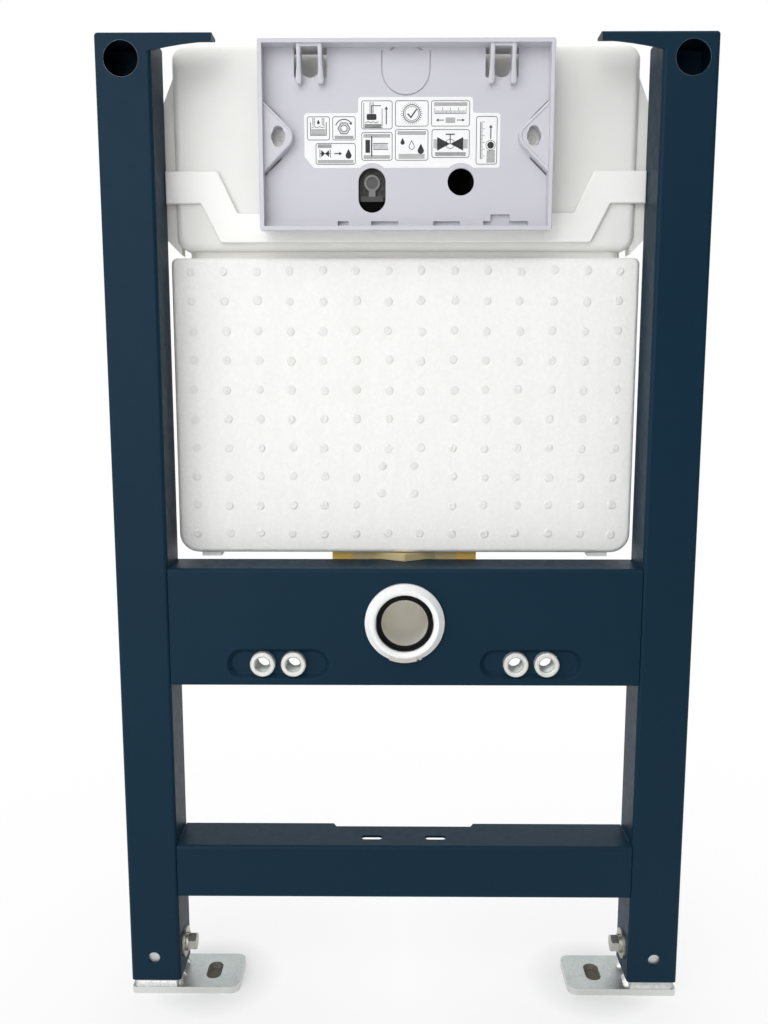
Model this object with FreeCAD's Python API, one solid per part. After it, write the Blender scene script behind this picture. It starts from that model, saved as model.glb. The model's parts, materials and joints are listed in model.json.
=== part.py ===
"""In-wall frame for a wall hung toilet: two folded posts on telescopic feet, two
crossbars, a blow moulded cistern in a foam jacket, its inspection box and its flush bend.

Millimetres, +Z up. Sizes along Y are measured back from the front face of the posts.
"""
import FreeCAD, Part
import math
import os

V = FreeCAD.Vector

# Sheet metal frame
FRAME_WIDTH = 464.0
FRAME_TOP = 776.0
SHEET = 2.0
BEND_RADIUS = 3.0
TOP_RADIUS = 2.4
POST_WIDTH = 42.0
POST_DEPTH = 42.0
POST_BOTTOM = 13.0
HOLE_OUTSET = 1.2
ACCESS_HOLE_DIA = 26.0
ACCESS_HOLE_DROP = 18.7
ANCHOR_HOLE_DIA = 10.0
ANCHOR_HOLE_DROP = 8.0
WALL_HOLE_DIA = 10.0
WALL_HOLE_RISE = 20.5
ARM_REACH = 45.5
ARM_ROOT_HEIGHT = 13.5
ARM_TIP_HEIGHT = 6.5
ARM_FLANGE = 18.0
ARM_SAG = 1.2

# Crossbars
BAR_DEPTH = 42.0
UPPER_BAR_HEIGHT = 97.0
LOWER_BAR_BOTTOM = 89.0
LOWER_BAR_HEIGHT = 46.0
NOTCH_WIDTH = 122.0
NOTCH_DEPTH = 5.5
CLIP_SLOT_LENGTH = 18.0
CLIP_SLOT_WIDTH = 7.0
CLIP_SLOT_SPACING = 54.0
CLIP_SLOT_SETBACK = 16.5

# Pan fixing sleeves in their pressed recesses
INNER_SPACING = 180.0
SLEEVE_PITCH = 25.0
SLEEVE_HEIGHT = 292.5
SLEEVE_BAR_RISE = 18.5
SLEEVE_DIA = 20.0
SLEEVE_BORE = 12.5
SLEEVE_LENGTH = 20.0
SLEEVE_PROUD = 3.0
SLEEVE_CHAMFER = 0.8
SLEEVE_FIT = 0.1
RECESS_END = 29.0
RECESS_HEIGHT = 25.0
RECESS_DEPTH = 4.0
RECESS_SLOPE = 3.5
RECESS_EDGE = 1.2

# Telescopic feet
PLATE_LENGTH = 91.0
PLATE_DEPTH = 48.0
PLATE_THICK = 6.0
PLATE_SETBACK = 1.0
PLATE_CORNER = 8.0
FOOT_SLOT_WIDTH = 13.0
FOOT_SLOT_LENGTH = 24.0
FOOT_SLOT_OFFSET = 24.5
LEG_CLEARANCE = 0.5
LEG_WALL = 2.0
LEG_LENGTH = 260.0
LEG_CORNER = 2.0
CLAMP_RISE = 23.0
BOLT_DIA = 8.0
BOLT_FLATS = 13.0
BOLT_HEAD = 6.5
BOLT_CHAMFER = 0.7
BOLT_CLEARANCE = 0.3
WASHER_DIA = 25.0
WASHER_THICK = 1.8
SPRING_DIA = 15.5
SPRING_THICK = 2.2
SPRING_GAP = 1.2

# Cistern
TANK_SIDE_GAP = 6.6
TANK_FRONT = 38.5
TANK_DEPTH = 92.0
TANK_RISE = 3.0
TANK_UPPER_HEIGHT = 156.0
TANK_WALL = 3.5
TANK_CORNER = 11.0
TANK_EDGE = 6.0
WING_OVERLAP = 16.0
WING_THICK = 14.0
WING_DROP = 17.0
WING_STEP_DROP = 3.0
WING_SLOPE = 62.0
WING_CHAMFER = 27.0
WING_CLEARANCE = 0.3
NECK_WIDTH = 112.0
NECK_HEIGHT = 87.0
NECK_DROP = 33.0
NECK_CORNER = 6.0
NECK_GAP = 0.3

# Foam jacket
FOAM_SIDE_GAP = 2.8
FOAM_FRONT = 34.0
FOAM_STEP_GAP = 6.0
FOAM_BAR_GAP = 7.0
FOAM_THICK = 12.0
FOAM_GAP = 0.3
FOAM_BACK_SETBACK = 15.0
FOAM_CORNER = 16.0
FOAM_TOP_CORNER = 5.0
FOAM_EDGE = 4.0
PAD_WIDTH = 16.0
PAD_DEPTH = 12.0
PAD_HEIGHT = 3.5
PAD_SPACING = 322.0

# Retaining strap
STRAP_THICK = 4.0
STRAP_CLEARANCE = 0.3
STRAP_DROP = 95.5
STRAP_END_HEIGHT = 24.6
STRAP_CRANK = 32.1
STRAP_MID_HEIGHT = 22.6
STRAP_END_WIDTH = 41.5
STRAP_SLOPE_WIDTH = 15.2
STRAP_LOWER_SHIFT = 14.0
STRAP_RETURN = 3.0
STRAP_CORNER = 2.5
STRAP_EDGE = 1.2

# Inspection box
BOX_WIDTH = 223.0
BOX_HEIGHT = 139.0
BOX_DROP = 6.0
BOX_FRONT = 5.0
BOX_WALL = 3.2
BOX_LAND = 4.0
BOX_UNDERCUT = 5.0
BOX_CORNER = 2.0
BOX_RIM = 0.8
BOX_STRAP_GAP = 0.4
PANEL_DROP = 13.0
PANEL_THICK = 2.5
LUG_REACH = 26.8
LUG_HEIGHT = 52.0
LUG_DROP = 69.0
LUG_RISE = 8.0
LUG_TIP_RADIUS = 10.0
LUG_HOLE_DIA = 11.0
LUG_HOLE_INSET = 11.2
LUG_KEY_WIDTH = 8.0
LUG_KEY_HEIGHT = 15.5
LUG_SLIT_SHARE = 0.48
LUG_SLIT_WIDTH = 1.7
LEVER_SLOT_X = -26.0
LEVER_SLOT_WIDTH = 21.0
LEVER_SLOT_DROP = 90.5
LEVER_SLOT_HEIGHT = 33.5
PORT_X = 42.5
PORT_DROP = 101.0
PORT_DIA = 20.5
TAB_WIDTH = 36.6
TAB_DROP = 37.3
TAB_GAP = 2.0
GROOVE_WIDTH = 1.0
GROOVE_DEPTH = 1.2
RIB_HEIGHT = 5.4
RIB_DEPTH = 3.0
RIB_GAPS = ((-48.3, 8.3), (-16.2, 20.8), (31.6, 20.5), (77.3, 34.6))
SNAP_X = 73.2
SNAP_WIDTH = 15.0
SNAP_HEIGHT = 6.3
SNAP_RISE = 4.2

# Clips under the top wall of the box
CLIP_INSET = 38.75
CLIP_WINDOW_WIDTH = 25.0
CLIP_WINDOW_HEIGHT = 21.5
CLIP_FIN_SPACING = 16.0
CLIP_FIN_THICK = 3.0
CLIP_FIN_HEIGHT = 27.0
CLIP_SETBACK = 2.0
CLIP_ROOT_DEPTH = 5.0
CLIP_ROOT_HEIGHT = 7.0
CLIP_TIP_DEPTH = 6.0
CLIP_BRIDGE = 2.0
CLIP_ROUND = 2.0

# Flush lever in the service neck
LEVER_SETBACK = 0.8
LEVER_THICK = 3.0
LEVER_EYE_DROP = 101.2
LEVER_EYE_DIA = 12.2
LEVER_EYE_RIM = 1.7
LEVER_EYE_DISH = 0.8
LEVER_STEM = 5.2
LEVER_FOOT_WIDTH = 17.0
LEVER_FOOT_HEIGHT = 4.8
LEVER_SEAT_GAP = 0.3

# Flush outlet
FLUSH_RISE = 35.0
PIPE_DIA = 46.0
PIPE_WALL = 3.0
OUTLET_SETBACK = 80.0
BEND_LINE_RADIUS = 45.0
PIPE_FIT = 0.2
SPIGOT_WALL = 4.5
SPIGOT_BELOW = 4.0
PIPE_ENTRY = 12.0
NUT_CORNERS = 100.0
NUT_SPAN = 121.0
NUT_WING = 70.0
NUT_WING_DROP = 1.0
NUT_FLANGE = 6.2
NUT_HUB_DIA = 66.0
NUT_HEIGHT = 14.0
NUT_BELOW = 6.7
NUT_ROOM = 3.0
NUT_ROUND = 1.5
COLLAR_DIA = 64.0
COLLAR_LENGTH = 8.0
COLLAR_BEVEL = 4.6
COLLAR_FUNNEL = 3.0
SEAL_LENGTH = 4.5
WEB_HOLE_ROOM = 0.6

# Places worked out from the sizes above
POST_INNER_X = FRAME_WIDTH / 2 - POST_WIDTH
POST_MID_X = FRAME_WIDTH / 2 - POST_WIDTH / 2
POST_MID_Y = POST_DEPTH / 2
CLAMP_LEVEL = POST_BOTTOM + CLAMP_RISE
OUTER_SPACING = INNER_SPACING + 2 * SLEEVE_PITCH
UPPER_BAR_BOTTOM = SLEEVE_HEIGHT - SLEEVE_BAR_RISE
RECESS_LENGTH = SLEEVE_PITCH + 2 * RECESS_END
TANK_WIDTH = 2 * (POST_INNER_X - TANK_SIDE_GAP)
TANK_BACK = TANK_FRONT + TANK_DEPTH
TANK_TOP = FRAME_TOP + TANK_RISE
TANK_STEP = TANK_TOP - TANK_UPPER_HEIGHT
WING_TOP = TANK_TOP - WING_DROP
WING_BOTTOM = TANK_STEP - WING_STEP_DROP
FOAM_WIDTH = 2 * (POST_INNER_X - FOAM_SIDE_GAP)
FOAM_TOP = TANK_STEP - FOAM_STEP_GAP
FOAM_BOTTOM = UPPER_BAR_BOTTOM + UPPER_BAR_HEIGHT + FOAM_BAR_GAP
LOWER_TANK_WIDTH = FOAM_WIDTH - 2 * (FOAM_THICK + FOAM_GAP)
LOWER_TANK_FRONT = FOAM_FRONT + FOAM_THICK + FOAM_GAP
TANK_BOTTOM = FOAM_BOTTOM + FOAM_THICK + FOAM_GAP
FOAM_BACK = TANK_BACK - FOAM_BACK_SETBACK
STRAP_BACK = TANK_FRONT - STRAP_CLEARANCE
STRAP_FRONT = STRAP_BACK - STRAP_THICK
STRAP_END_TOP = TANK_TOP - STRAP_DROP
STRAP_MID_TOP = STRAP_END_TOP - STRAP_CRANK
BOX_BACK = STRAP_FRONT - BOX_STRAP_GAP
BOX_TOP = TANK_TOP - BOX_DROP
BOX_BOTTOM = BOX_TOP - BOX_HEIGHT
BOX_CEILING = BOX_TOP - BOX_WALL
BOX_FLOOR = BOX_BOTTOM + BOX_WALL
BOX_ROOM = BOX_WIDTH / 2 - BOX_WALL
BOX_RIM_BACK = BOX_FRONT + BOX_LAND
CLIP_SPACING = BOX_WIDTH - 2 * CLIP_INSET
NECK_TOP = BOX_TOP - NECK_DROP
NECK_BOTTOM = NECK_TOP - NECK_HEIGHT
LUG_LEVEL = BOX_TOP - LUG_DROP
LEVER_SLOT_TOP = BOX_TOP - LEVER_SLOT_DROP
PORT_LEVEL = BOX_TOP - PORT_DROP
PANEL_FRONT = BOX_FRONT + PANEL_DROP
PANEL_BACK = PANEL_FRONT + PANEL_THICK
RIB_TOP = BOX_FLOOR + RIB_HEIGHT
FLUSH_LEVEL = SLEEVE_HEIGHT + FLUSH_RISE
SPIGOT_BOTTOM = FOAM_BOTTOM - SPIGOT_BELOW
SPIGOT_BORE = PIPE_DIA + 2 * PIPE_FIT
SPIGOT_DIA = SPIGOT_BORE + 2 * SPIGOT_WALL
COLLAR_FRONT = -COLLAR_LENGTH
SEAL_FRONT = COLLAR_FRONT + COLLAR_FUNNEL
ORIGIN_Y = (COLLAR_FRONT + TANK_BACK) / 2


def block(x0, x1, y0, y1, z0, z1):
    return Part.makeBox(x1 - x0, y1 - y0, z1 - z0, V(x0, y0, z0))


def edges_along(shape, axis):
    """Straight edges of a shape that run along one axis."""
    found = []
    for edge in shape.Edges:
        if isinstance(edge.Curve, Part.Line):
            if abs(edge.tangentAt(edge.FirstParameter).dot(axis)) > 0.999:
                found.append(edge)
    return found


def edges_at_depth(shape, y):
    """Edges of a shape that lie in one upright plane."""
    return [e for e in shape.Edges if abs(e.BoundBox.YMin - y) < 0.01 and abs(e.BoundBox.YMax - y) < 0.01]


def rounded_block(x0, x1, y0, y1, z0, z1, radius, axis):
    """Block whose four edges along one axis are rounded."""
    shape = block(x0, x1, y0, y1, z0, z1)
    return shape.makeFillet(radius, edges_along(shape, axis))


def rod(dia, start, direction, length):
    return Part.makeCylinder(dia / 2, length, start, direction)


def tube(outer, bore, start, direction, length):
    return rod(outer, start, direction, length).cut(rod(bore, start, direction, length))


def obround_wire(length, height, x, y, z):
    """Slot outline in a vertical plane, with its long side along X."""
    r = height / 2
    half = length / 2 - r
    top_left = V(x - half, y, z + r)
    top_right = V(x + half, y, z + r)
    low_right = V(x + half, y, z - r)
    low_left = V(x - half, y, z - r)
    right = Part.Arc(top_right, V(x + half + r, y, z), low_right).toShape()
    left = Part.Arc(low_left, V(x - half - r, y, z), top_left).toShape()
    return Part.Wire([Part.makeLine(top_left, top_right), right,
                      Part.makeLine(low_right, low_left), left])


def slot_cutter(length, width, x, y, z0, z1):
    """Vertical cutter for a slot that runs along Y when length is the larger."""
    half = length / 2 - width / 2
    body = block(x - width / 2, x + width / 2, y - half, y + half, z0, z1)
    near = rod(width, V(x, y - half, z0), V(0, 0, 1), z1 - z0)
    far = rod(width, V(x, y + half, z0), V(0, 0, 1), z1 - z0)
    return body.fuse([near, far]).removeSplitter()


def prism(points, vector):
    """Straight sided outline extruded along a vector."""
    outline = Part.makePolygon(points + [points[0]])
    return Part.Face(outline).extrude(vector)


def hexagon(corners, place):
    """Six points round an origin, each put in place by a function of its two coordinates."""
    r = corners / 2
    return [place(r * math.sin(math.radians(60 * k)), -r * math.cos(math.radians(60 * k))) for k in range(6)]


def mirrored(shape):
    return shape.mirror(V(0, 0, 0), V(1, 0, 0))


def arm():
    """Tapered bracket folded from the front and top sheets of the left post, with a gusset at its tip."""
    root = -POST_INNER_X - BEND_RADIUS
    tip = -POST_INNER_X + ARM_REACH
    low_root = V(root, 0, FRAME_TOP - ARM_ROOT_HEIGHT)
    low_tip = V(tip, 0, FRAME_TOP - ARM_TIP_HEIGHT)
    middle = (low_root + low_tip) / 2 + V(0, 0, ARM_SAG)
    edges = [Part.Arc(low_root, middle, low_tip).toShape(),
             Part.makeLine(low_tip, V(tip, 0, FRAME_TOP)),
             Part.makeLine(V(tip, 0, FRAME_TOP), V(root, 0, FRAME_TOP)),
             Part.makeLine(V(root, 0, FRAME_TOP), low_root)]
    web = Part.Face(Part.Wire(edges)).extrude(V(0, SHEET, 0))
    flange = block(root, tip, 0, ARM_FLANGE, FRAME_TOP - SHEET, FRAME_TOP)
    x = tip - SHEET
    gusset = prism([V(x, 0, FRAME_TOP - ARM_TIP_HEIGHT), V(x, ARM_FLANGE, FRAME_TOP - SHEET),
                    V(x, ARM_FLANGE, FRAME_TOP), V(x, 0, FRAME_TOP)], V(SHEET, 0, 0))
    shape = web.fuse([flange, gusset]).removeSplitter()
    crest = [e for e in edges_along(shape, V(1, 0, 0))
             if e.CenterOfMass.y < 0.01 and e.CenterOfMass.z > FRAME_TOP - 0.01]
    return shape.makeFillet(TOP_RADIUS, crest)


def left_post():
    """Square box post with a closed top, an arm and its punched holes."""
    x0 = -FRAME_WIDTH / 2
    x1 = -POST_INNER_X
    outer = rounded_block(x0, x1, 0, POST_DEPTH, POST_BOTTOM, FRAME_TOP, BEND_RADIUS, V(0, 0, 1))
    rim = [e for e in outer.Edges if e.BoundBox.ZMin > FRAME_TOP - 0.01]
    outer = outer.makeFillet(TOP_RADIUS, rim)
    room = rounded_block(x0 + SHEET, x1 - SHEET, SHEET, POST_DEPTH - SHEET, POST_BOTTOM - 1,
                         FRAME_TOP - SHEET, BEND_RADIUS - SHEET, V(0, 0, 1))
    hole_x = -POST_MID_X - HOLE_OUTSET
    access_level = FRAME_TOP - ACCESS_HOLE_DROP
    depth = SHEET + 2
    access = rod(ACCESS_HOLE_DIA, V(hole_x, -1, access_level), V(0, 1, 0), depth)
    anchor = rod(ANCHOR_HOLE_DIA, V(hole_x, POST_DEPTH - SHEET - 1, access_level - ANCHOR_HOLE_DROP),
                 V(0, 1, 0), depth)
    wall_hole = rod(WALL_HOLE_DIA, V(hole_x, -1, POST_BOTTOM + WALL_HOLE_RISE), V(0, 1, 0), depth)
    clamp = rod(BOLT_DIA + 2 * BOLT_CLEARANCE, V(x1 - SHEET - 1, POST_MID_Y, CLAMP_LEVEL), V(1, 0, 0), depth)
    return outer.cut([room, access, anchor, wall_hole, clamp]).fuse(arm()).removeSplitter()


def channel(bottom, height):
    """Crossbar: a web at the front with two flanges folded back."""
    x1 = POST_INNER_X
    outer = block(-x1, x1, 0, BAR_DEPTH, bottom, bottom + height)
    front = [e for e in edges_along(outer, V(1, 0, 0)) if e.CenterOfMass.y < BAR_DEPTH / 2]
    outer = outer.makeFillet(BEND_RADIUS, front)
    room = block(-x1 - 1, x1 + 1, SHEET, BAR_DEPTH + 1, bottom + SHEET, bottom + height - SHEET)
    inner = [e for e in edges_along(room, V(1, 0, 0)) if e.CenterOfMass.y < BAR_DEPTH / 2]
    return outer.cut(room.makeFillet(BEND_RADIUS - SHEET, inner))


def pressed_recess(bar, x):
    """Crossbar with a slot shaped pocket pressed into its web, soft at both edges."""
    length = RECESS_LENGTH
    height = RECESS_HEIGHT
    shrink = 2 * RECESS_SLOPE
    wide = length + 2 * SHEET
    tall = height + 2 * SHEET
    back = RECESS_DEPTH + SHEET
    hollow = Part.makeLoft([obround_wire(length, height, x, 0, SLEEVE_HEIGHT),
                            obround_wire(length - shrink, height - shrink, x, RECESS_DEPTH, SLEEVE_HEIGHT)],
                           True, True)
    body = Part.makeLoft([obround_wire(wide, tall, x, SHEET / 2, SLEEVE_HEIGHT),
                          obround_wire(wide - shrink, tall - shrink, x, back, SLEEVE_HEIGHT)],
                         True, True)
    shape = bar.fuse(body).cut(hollow)
    for depth in (0, RECESS_DEPTH):
        edges = [e for e in edges_at_depth(shape, depth)
                 if abs(e.CenterOfMass.x - x) <= length / 2
                 and abs(e.CenterOfMass.z - SLEEVE_HEIGHT) <= height / 2]
        shape = shape.makeFillet(RECESS_EDGE, edges)
    return shape


def sleeve_places():
    return (("left_outer_sleeve", -OUTER_SPACING / 2), ("left_inner_sleeve", -INNER_SPACING / 2),
            ("right_inner_sleeve", INNER_SPACING / 2), ("right_outer_sleeve", OUTER_SPACING / 2))


def upper_crossbar():
    """Upper crossbar, with pockets for the pan fixings and a hole for the flush pipe."""
    bar = channel(UPPER_BAR_BOTTOM, UPPER_BAR_HEIGHT)
    middle = (INNER_SPACING + OUTER_SPACING) / 4
    for x in (-middle, middle):
        bar = pressed_recess(bar, x)
    cutters = [rod(SLEEVE_DIA + 2 * SLEEVE_FIT, V(x, -1, SLEEVE_HEIGHT), V(0, 1, 0), BAR_DEPTH)
               for name, x in sleeve_places()]
    cutters.append(rod(PIPE_DIA + 2 * WEB_HOLE_ROOM, V(0, -1, FLUSH_LEVEL), V(0, 1, 0), SHEET + 2))
    return bar.cut(cutters).removeSplitter()


def lower_crossbar():
    """Lower crossbar, with a notch in its top flange and two slots for a pipe clip."""
    bar = channel(LOWER_BAR_BOTTOM, LOWER_BAR_HEIGHT)
    top = LOWER_BAR_BOTTOM + LOWER_BAR_HEIGHT
    base = top - SHEET - 1
    wide = NOTCH_WIDTH / 2
    narrow = wide - NOTCH_DEPTH / 2
    front = BAR_DEPTH - NOTCH_DEPTH
    back = BAR_DEPTH + 1
    notch = prism([V(-wide, back, base), V(-wide, BAR_DEPTH, base), V(-narrow, front, base),
                   V(narrow, front, base), V(wide, BAR_DEPTH, base), V(wide, back, base)],
                  V(0, 0, SHEET + 2))
    cutters = [notch]
    for x in (-CLIP_SLOT_SPACING / 2, CLIP_SLOT_SPACING / 2):
        slot = slot_cutter(CLIP_SLOT_LENGTH, CLIP_SLOT_WIDTH, 0, 0, base, top + 1)
        slot.rotate(V(0, 0, 0), V(0, 0, 1), 90)
        slot.translate(V(x, CLIP_SLOT_SETBACK, 0))
        cutters.append(slot)
    return bar.cut(cutters).removeSplitter()


def sleeve(x):
    """Plain bushing that stands a little proud of the crossbar, with broken edges in front."""
    shape = tube(SLEEVE_DIA, SLEEVE_BORE, V(x, -SLEEVE_PROUD, SLEEVE_HEIGHT), V(0, 1, 0), SLEEVE_LENGTH)
    return shape.makeChamfer(SLEEVE_CHAMFER, edges_at_depth(shape, -SLEEVE_PROUD))


def left_leg():
    """Square tube that slides in the post, standing on its foot plate."""
    inset = SHEET + LEG_CLEARANCE
    x0 = -FRAME_WIDTH / 2 + inset
    x1 = -POST_INNER_X - inset
    y0 = inset
    y1 = POST_DEPTH - inset
    top = PLATE_THICK + LEG_LENGTH
    outer = rounded_block(x0, x1, y0, y1, PLATE_THICK, top, LEG_CORNER, V(0, 0, 1))
    room = block(x0 + LEG_WALL, x1 - LEG_WALL, y0 + LEG_WALL, y1 - LEG_WALL, PLATE_THICK - 1, top + 1)
    return outer.cut(room)


def left_foot_plate():
    """Base plate with rounded corners at its free end and a slot for the floor bolt."""
    x0 = -FRAME_WIDTH / 2
    x1 = x0 + PLATE_LENGTH
    y0 = PLATE_SETBACK
    y1 = y0 + PLATE_DEPTH
    plate = block(x0, x1, y0, y1, 0, PLATE_THICK)
    free = [e for e in edges_along(plate, V(0, 0, 1)) if e.CenterOfMass.x > (x0 + x1) / 2]
    plate = plate.makeFillet(PLATE_CORNER, free)
    held = [e for e in edges_along(plate, V(0, 0, 1)) if e.CenterOfMass.x < x0 + 1]
    plate = plate.makeChamfer(PLATE_CORNER / 4, held)
    slot = slot_cutter(FOOT_SLOT_LENGTH, FOOT_SLOT_WIDTH, -POST_INNER_X + FOOT_SLOT_OFFSET,
                       (y0 + y1) / 2, -1, PLATE_THICK + 1)
    return plate.cut(slot)


def left_washer():
    return tube(WASHER_DIA, BOLT_DIA + 2 * BOLT_CLEARANCE, V(-POST_INNER_X, POST_MID_Y, CLAMP_LEVEL),
                V(1, 0, 0), WASHER_THICK)


def left_spring_washer():
    """Split lock washer between the flat washer and the head of the clamp bolt."""
    x0 = -POST_INNER_X + WASHER_THICK
    x1 = x0 + SPRING_THICK
    ring = tube(SPRING_DIA, BOLT_DIA + 2 * BOLT_CLEARANCE, V(x0, POST_MID_Y, CLAMP_LEVEL), V(1, 0, 0),
                SPRING_THICK)
    split = block(x0 - 1, x1 + 1, POST_MID_Y - SPRING_GAP / 2, POST_MID_Y + SPRING_GAP / 2,
                  CLAMP_LEVEL, CLAMP_LEVEL + SPRING_DIA)
    return ring.cut(split)


def left_clamp_bolt():
    """Hexagon bolt through the side of the post, which holds the leg."""
    seat = -POST_INNER_X + WASHER_THICK + SPRING_THICK
    tip = -POST_INNER_X - SHEET - LEG_CLEARANCE + BOLT_CLEARANCE
    corners = 2 * BOLT_FLATS / math.sqrt(3)
    head = prism(hexagon(corners, lambda a, b: V(seat, POST_MID_Y + a, CLAMP_LEVEL + b)), V(BOLT_HEAD, 0, 0))
    start = V(seat, POST_MID_Y, CLAMP_LEVEL)
    straight = BOLT_HEAD - BOLT_CHAMFER
    turned_end = Part.makeCone(corners / 2, BOLT_FLATS / 2, BOLT_CHAMFER, start + V(straight, 0, 0),
                               V(1, 0, 0))
    head = head.common(rod(corners, start, V(1, 0, 0), straight).fuse(turned_end))
    shank = rod(BOLT_DIA, V(tip, POST_MID_Y, CLAMP_LEVEL), V(1, 0, 0), seat - tip)
    return head.fuse(shank).removeSplitter()


def soft_block(x0, x1, y0, y1, z0, z1, corner, edge):
    """Moulded block: corners rounded as seen from the front, then its front and back edges."""
    shape = rounded_block(x0, x1, y0, y1, z0, z1, corner, V(0, 1, 0))
    rims = edges_at_depth(shape, y0) + edges_at_depth(shape, y1)
    return shape.makeFillet(edge, rims)


def wing():
    """Lug on the left of the tank, which bears on the back of the post."""
    inner = -TANK_WIDTH / 2 + TANK_WALL
    outer = -POST_INNER_X - WING_OVERLAP
    y = POST_DEPTH + WING_CLEARANCE
    points = [V(inner, y, WING_BOTTOM), V(outer, y, WING_BOTTOM + WING_CHAMFER),
              V(outer, y, WING_TOP - WING_SLOPE), V(inner, y, WING_TOP)]
    return prism(points, V(0, WING_THICK, 0))


def cistern_tank():
    """Blow moulded shell, narrower where the foam goes round it, with a service neck."""
    half = TANK_WIDTH / 2
    low = LOWER_TANK_WIDTH / 2
    w = TANK_WALL
    upper = soft_block(-half, half, TANK_FRONT, TANK_BACK, TANK_STEP, TANK_TOP, TANK_CORNER, TANK_EDGE)
    join = TANK_STEP + TANK_CORNER
    lower = rounded_block(-low, low, LOWER_TANK_FRONT, TANK_BACK, TANK_BOTTOM, join, TANK_CORNER, V(0, 0, 1))
    room = soft_block(-half + w, half - w, TANK_FRONT + w, TANK_BACK - w, TANK_STEP + w, TANK_TOP - w,
                      TANK_CORNER - w, TANK_EDGE - w)
    low_room = rounded_block(-low + w, low - w, LOWER_TANK_FRONT + w, TANK_BACK - w, TANK_BOTTOM + w, join,
                             TANK_CORNER - w, V(0, 0, 1))
    neck_front = PANEL_BACK + NECK_GAP
    neck = rounded_block(-NECK_WIDTH / 2, NECK_WIDTH / 2, neck_front, TANK_FRONT + w, NECK_BOTTOM, NECK_TOP,
                         NECK_CORNER, V(0, 1, 0))
    mouth = rounded_block(-NECK_WIDTH / 2 + w, NECK_WIDTH / 2 - w, neck_front - 1, TANK_FRONT + w + 1,
                          NECK_BOTTOM + w, NECK_TOP - w, NECK_CORNER - w, V(0, 1, 0))
    axis = V(0, OUTLET_SETBACK, SPIGOT_BOTTOM)
    drop = TANK_BOTTOM + w - SPIGOT_BOTTOM
    spigot = rod(SPIGOT_DIA, axis, V(0, 0, 1), drop)
    outlet = rod(SPIGOT_BORE, axis - V(0, 0, 1), V(0, 0, 1), drop + 2)
    shell = upper.fuse([lower, neck, spigot, wing(), mirrored(wing())])
    return shell.cut([room, low_room, mouth, outlet]).removeSplitter()


def foam_jacket():
    """Foam tray round the front, sides and bottom of the lower tank."""
    half = FOAM_WIDTH / 2
    outer = block(-half, half, FOAM_FRONT, FOAM_BACK, FOAM_BOTTOM, FOAM_TOP)
    bottom = [e for e in edges_along(outer, V(0, 1, 0)) if e.CenterOfMass.z < FOAM_BOTTOM + 1]
    outer = outer.makeFillet(FOAM_CORNER, bottom)
    top = [e for e in edges_along(outer, V(0, 1, 0)) if e.CenterOfMass.z > FOAM_TOP - 1]
    outer = outer.makeFillet(FOAM_TOP_CORNER, top)
    outer = outer.makeFillet(FOAM_EDGE, edges_at_depth(outer, FOAM_FRONT))
    low = LOWER_TANK_WIDTH / 2 + FOAM_GAP
    room = block(-low, low, LOWER_TANK_FRONT - FOAM_GAP, FOAM_BACK + 1, TANK_BOTTOM - FOAM_GAP, FOAM_TOP + 1)
    corners = [e for e in edges_along(room, V(0, 0, 1)) if e.CenterOfMass.y < FOAM_BACK]
    room = room.makeFillet(TANK_CORNER, corners)
    reach = NUT_HUB_DIA / 2 + NUT_ROOM
    gap = block(-reach, reach, OUTLET_SETBACK - reach, FOAM_BACK + 1, FOAM_BOTTOM - 1, TANK_BOTTOM)
    pads = []
    for x in (-PAD_SPACING / 2, PAD_SPACING / 2):
        pads.append(block(x - PAD_WIDTH / 2, x + PAD_WIDTH / 2, FOAM_FRONT + FOAM_EDGE,
                          FOAM_FRONT + FOAM_EDGE + PAD_DEPTH, FOAM_BOTTOM - PAD_HEIGHT,
                          FOAM_BOTTOM + FOAM_THICK / 2))
    return outer.cut([room, gap]).fuse(pads).removeSplitter()


def tank_strap():
    """Cranked band across the tank, with ends that turn back beside the posts."""
    end = POST_INNER_X - STRAP_CLEARANCE
    bend = end - STRAP_END_WIDTH
    mid = bend - STRAP_SLOPE_WIDTH
    y = STRAP_FRONT
    end_low = STRAP_END_TOP - STRAP_END_HEIGHT
    mid_low = STRAP_MID_TOP - STRAP_MID_HEIGHT
    shift = STRAP_LOWER_SHIFT
    right = [V(mid, y, STRAP_MID_TOP), V(bend, y, STRAP_END_TOP), V(end, y, STRAP_END_TOP),
             V(end, y, end_low), V(bend + shift, y, end_low), V(mid + shift, y, mid_low)]
    left = [V(-p.x, p.y, p.z) for p in reversed(right)]
    band = prism(right + left, V(0, STRAP_THICK, 0))
    cranks = [e for e in edges_along(band, V(0, 1, 0)) if abs(e.CenterOfMass.x) < end - 1]
    band = band.makeFillet(STRAP_CORNER, cranks)
    band = band.makeFillet(STRAP_EDGE, edges_at_depth(band, y))
    turn = block(end - STRAP_RETURN, end, STRAP_BACK - STRAP_THICK / 2, POST_DEPTH, end_low, STRAP_END_TOP)
    return band.fuse([turn, mirrored(turn)]).removeSplitter()


def through_panel(dia, x, z):
    """Round cutter through the panel and anything raised on it."""
    return rod(dia, V(x, BOX_FRONT, z), V(0, 1, 0), PANEL_BACK + 1 - BOX_FRONT)


def lug_hole(side):
    """Round hole in a lug, with a rounded keyway above and below."""
    x = side * (BOX_ROOM - LUG_HOLE_INSET)
    reach = (LUG_KEY_HEIGHT - LUG_KEY_WIDTH) / 2
    keys = [through_panel(LUG_KEY_WIDTH, x, LUG_LEVEL + a * reach) for a in (-1, 1)]
    return through_panel(LUG_HOLE_DIA, x, LUG_LEVEL).fuse(keys)


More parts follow.
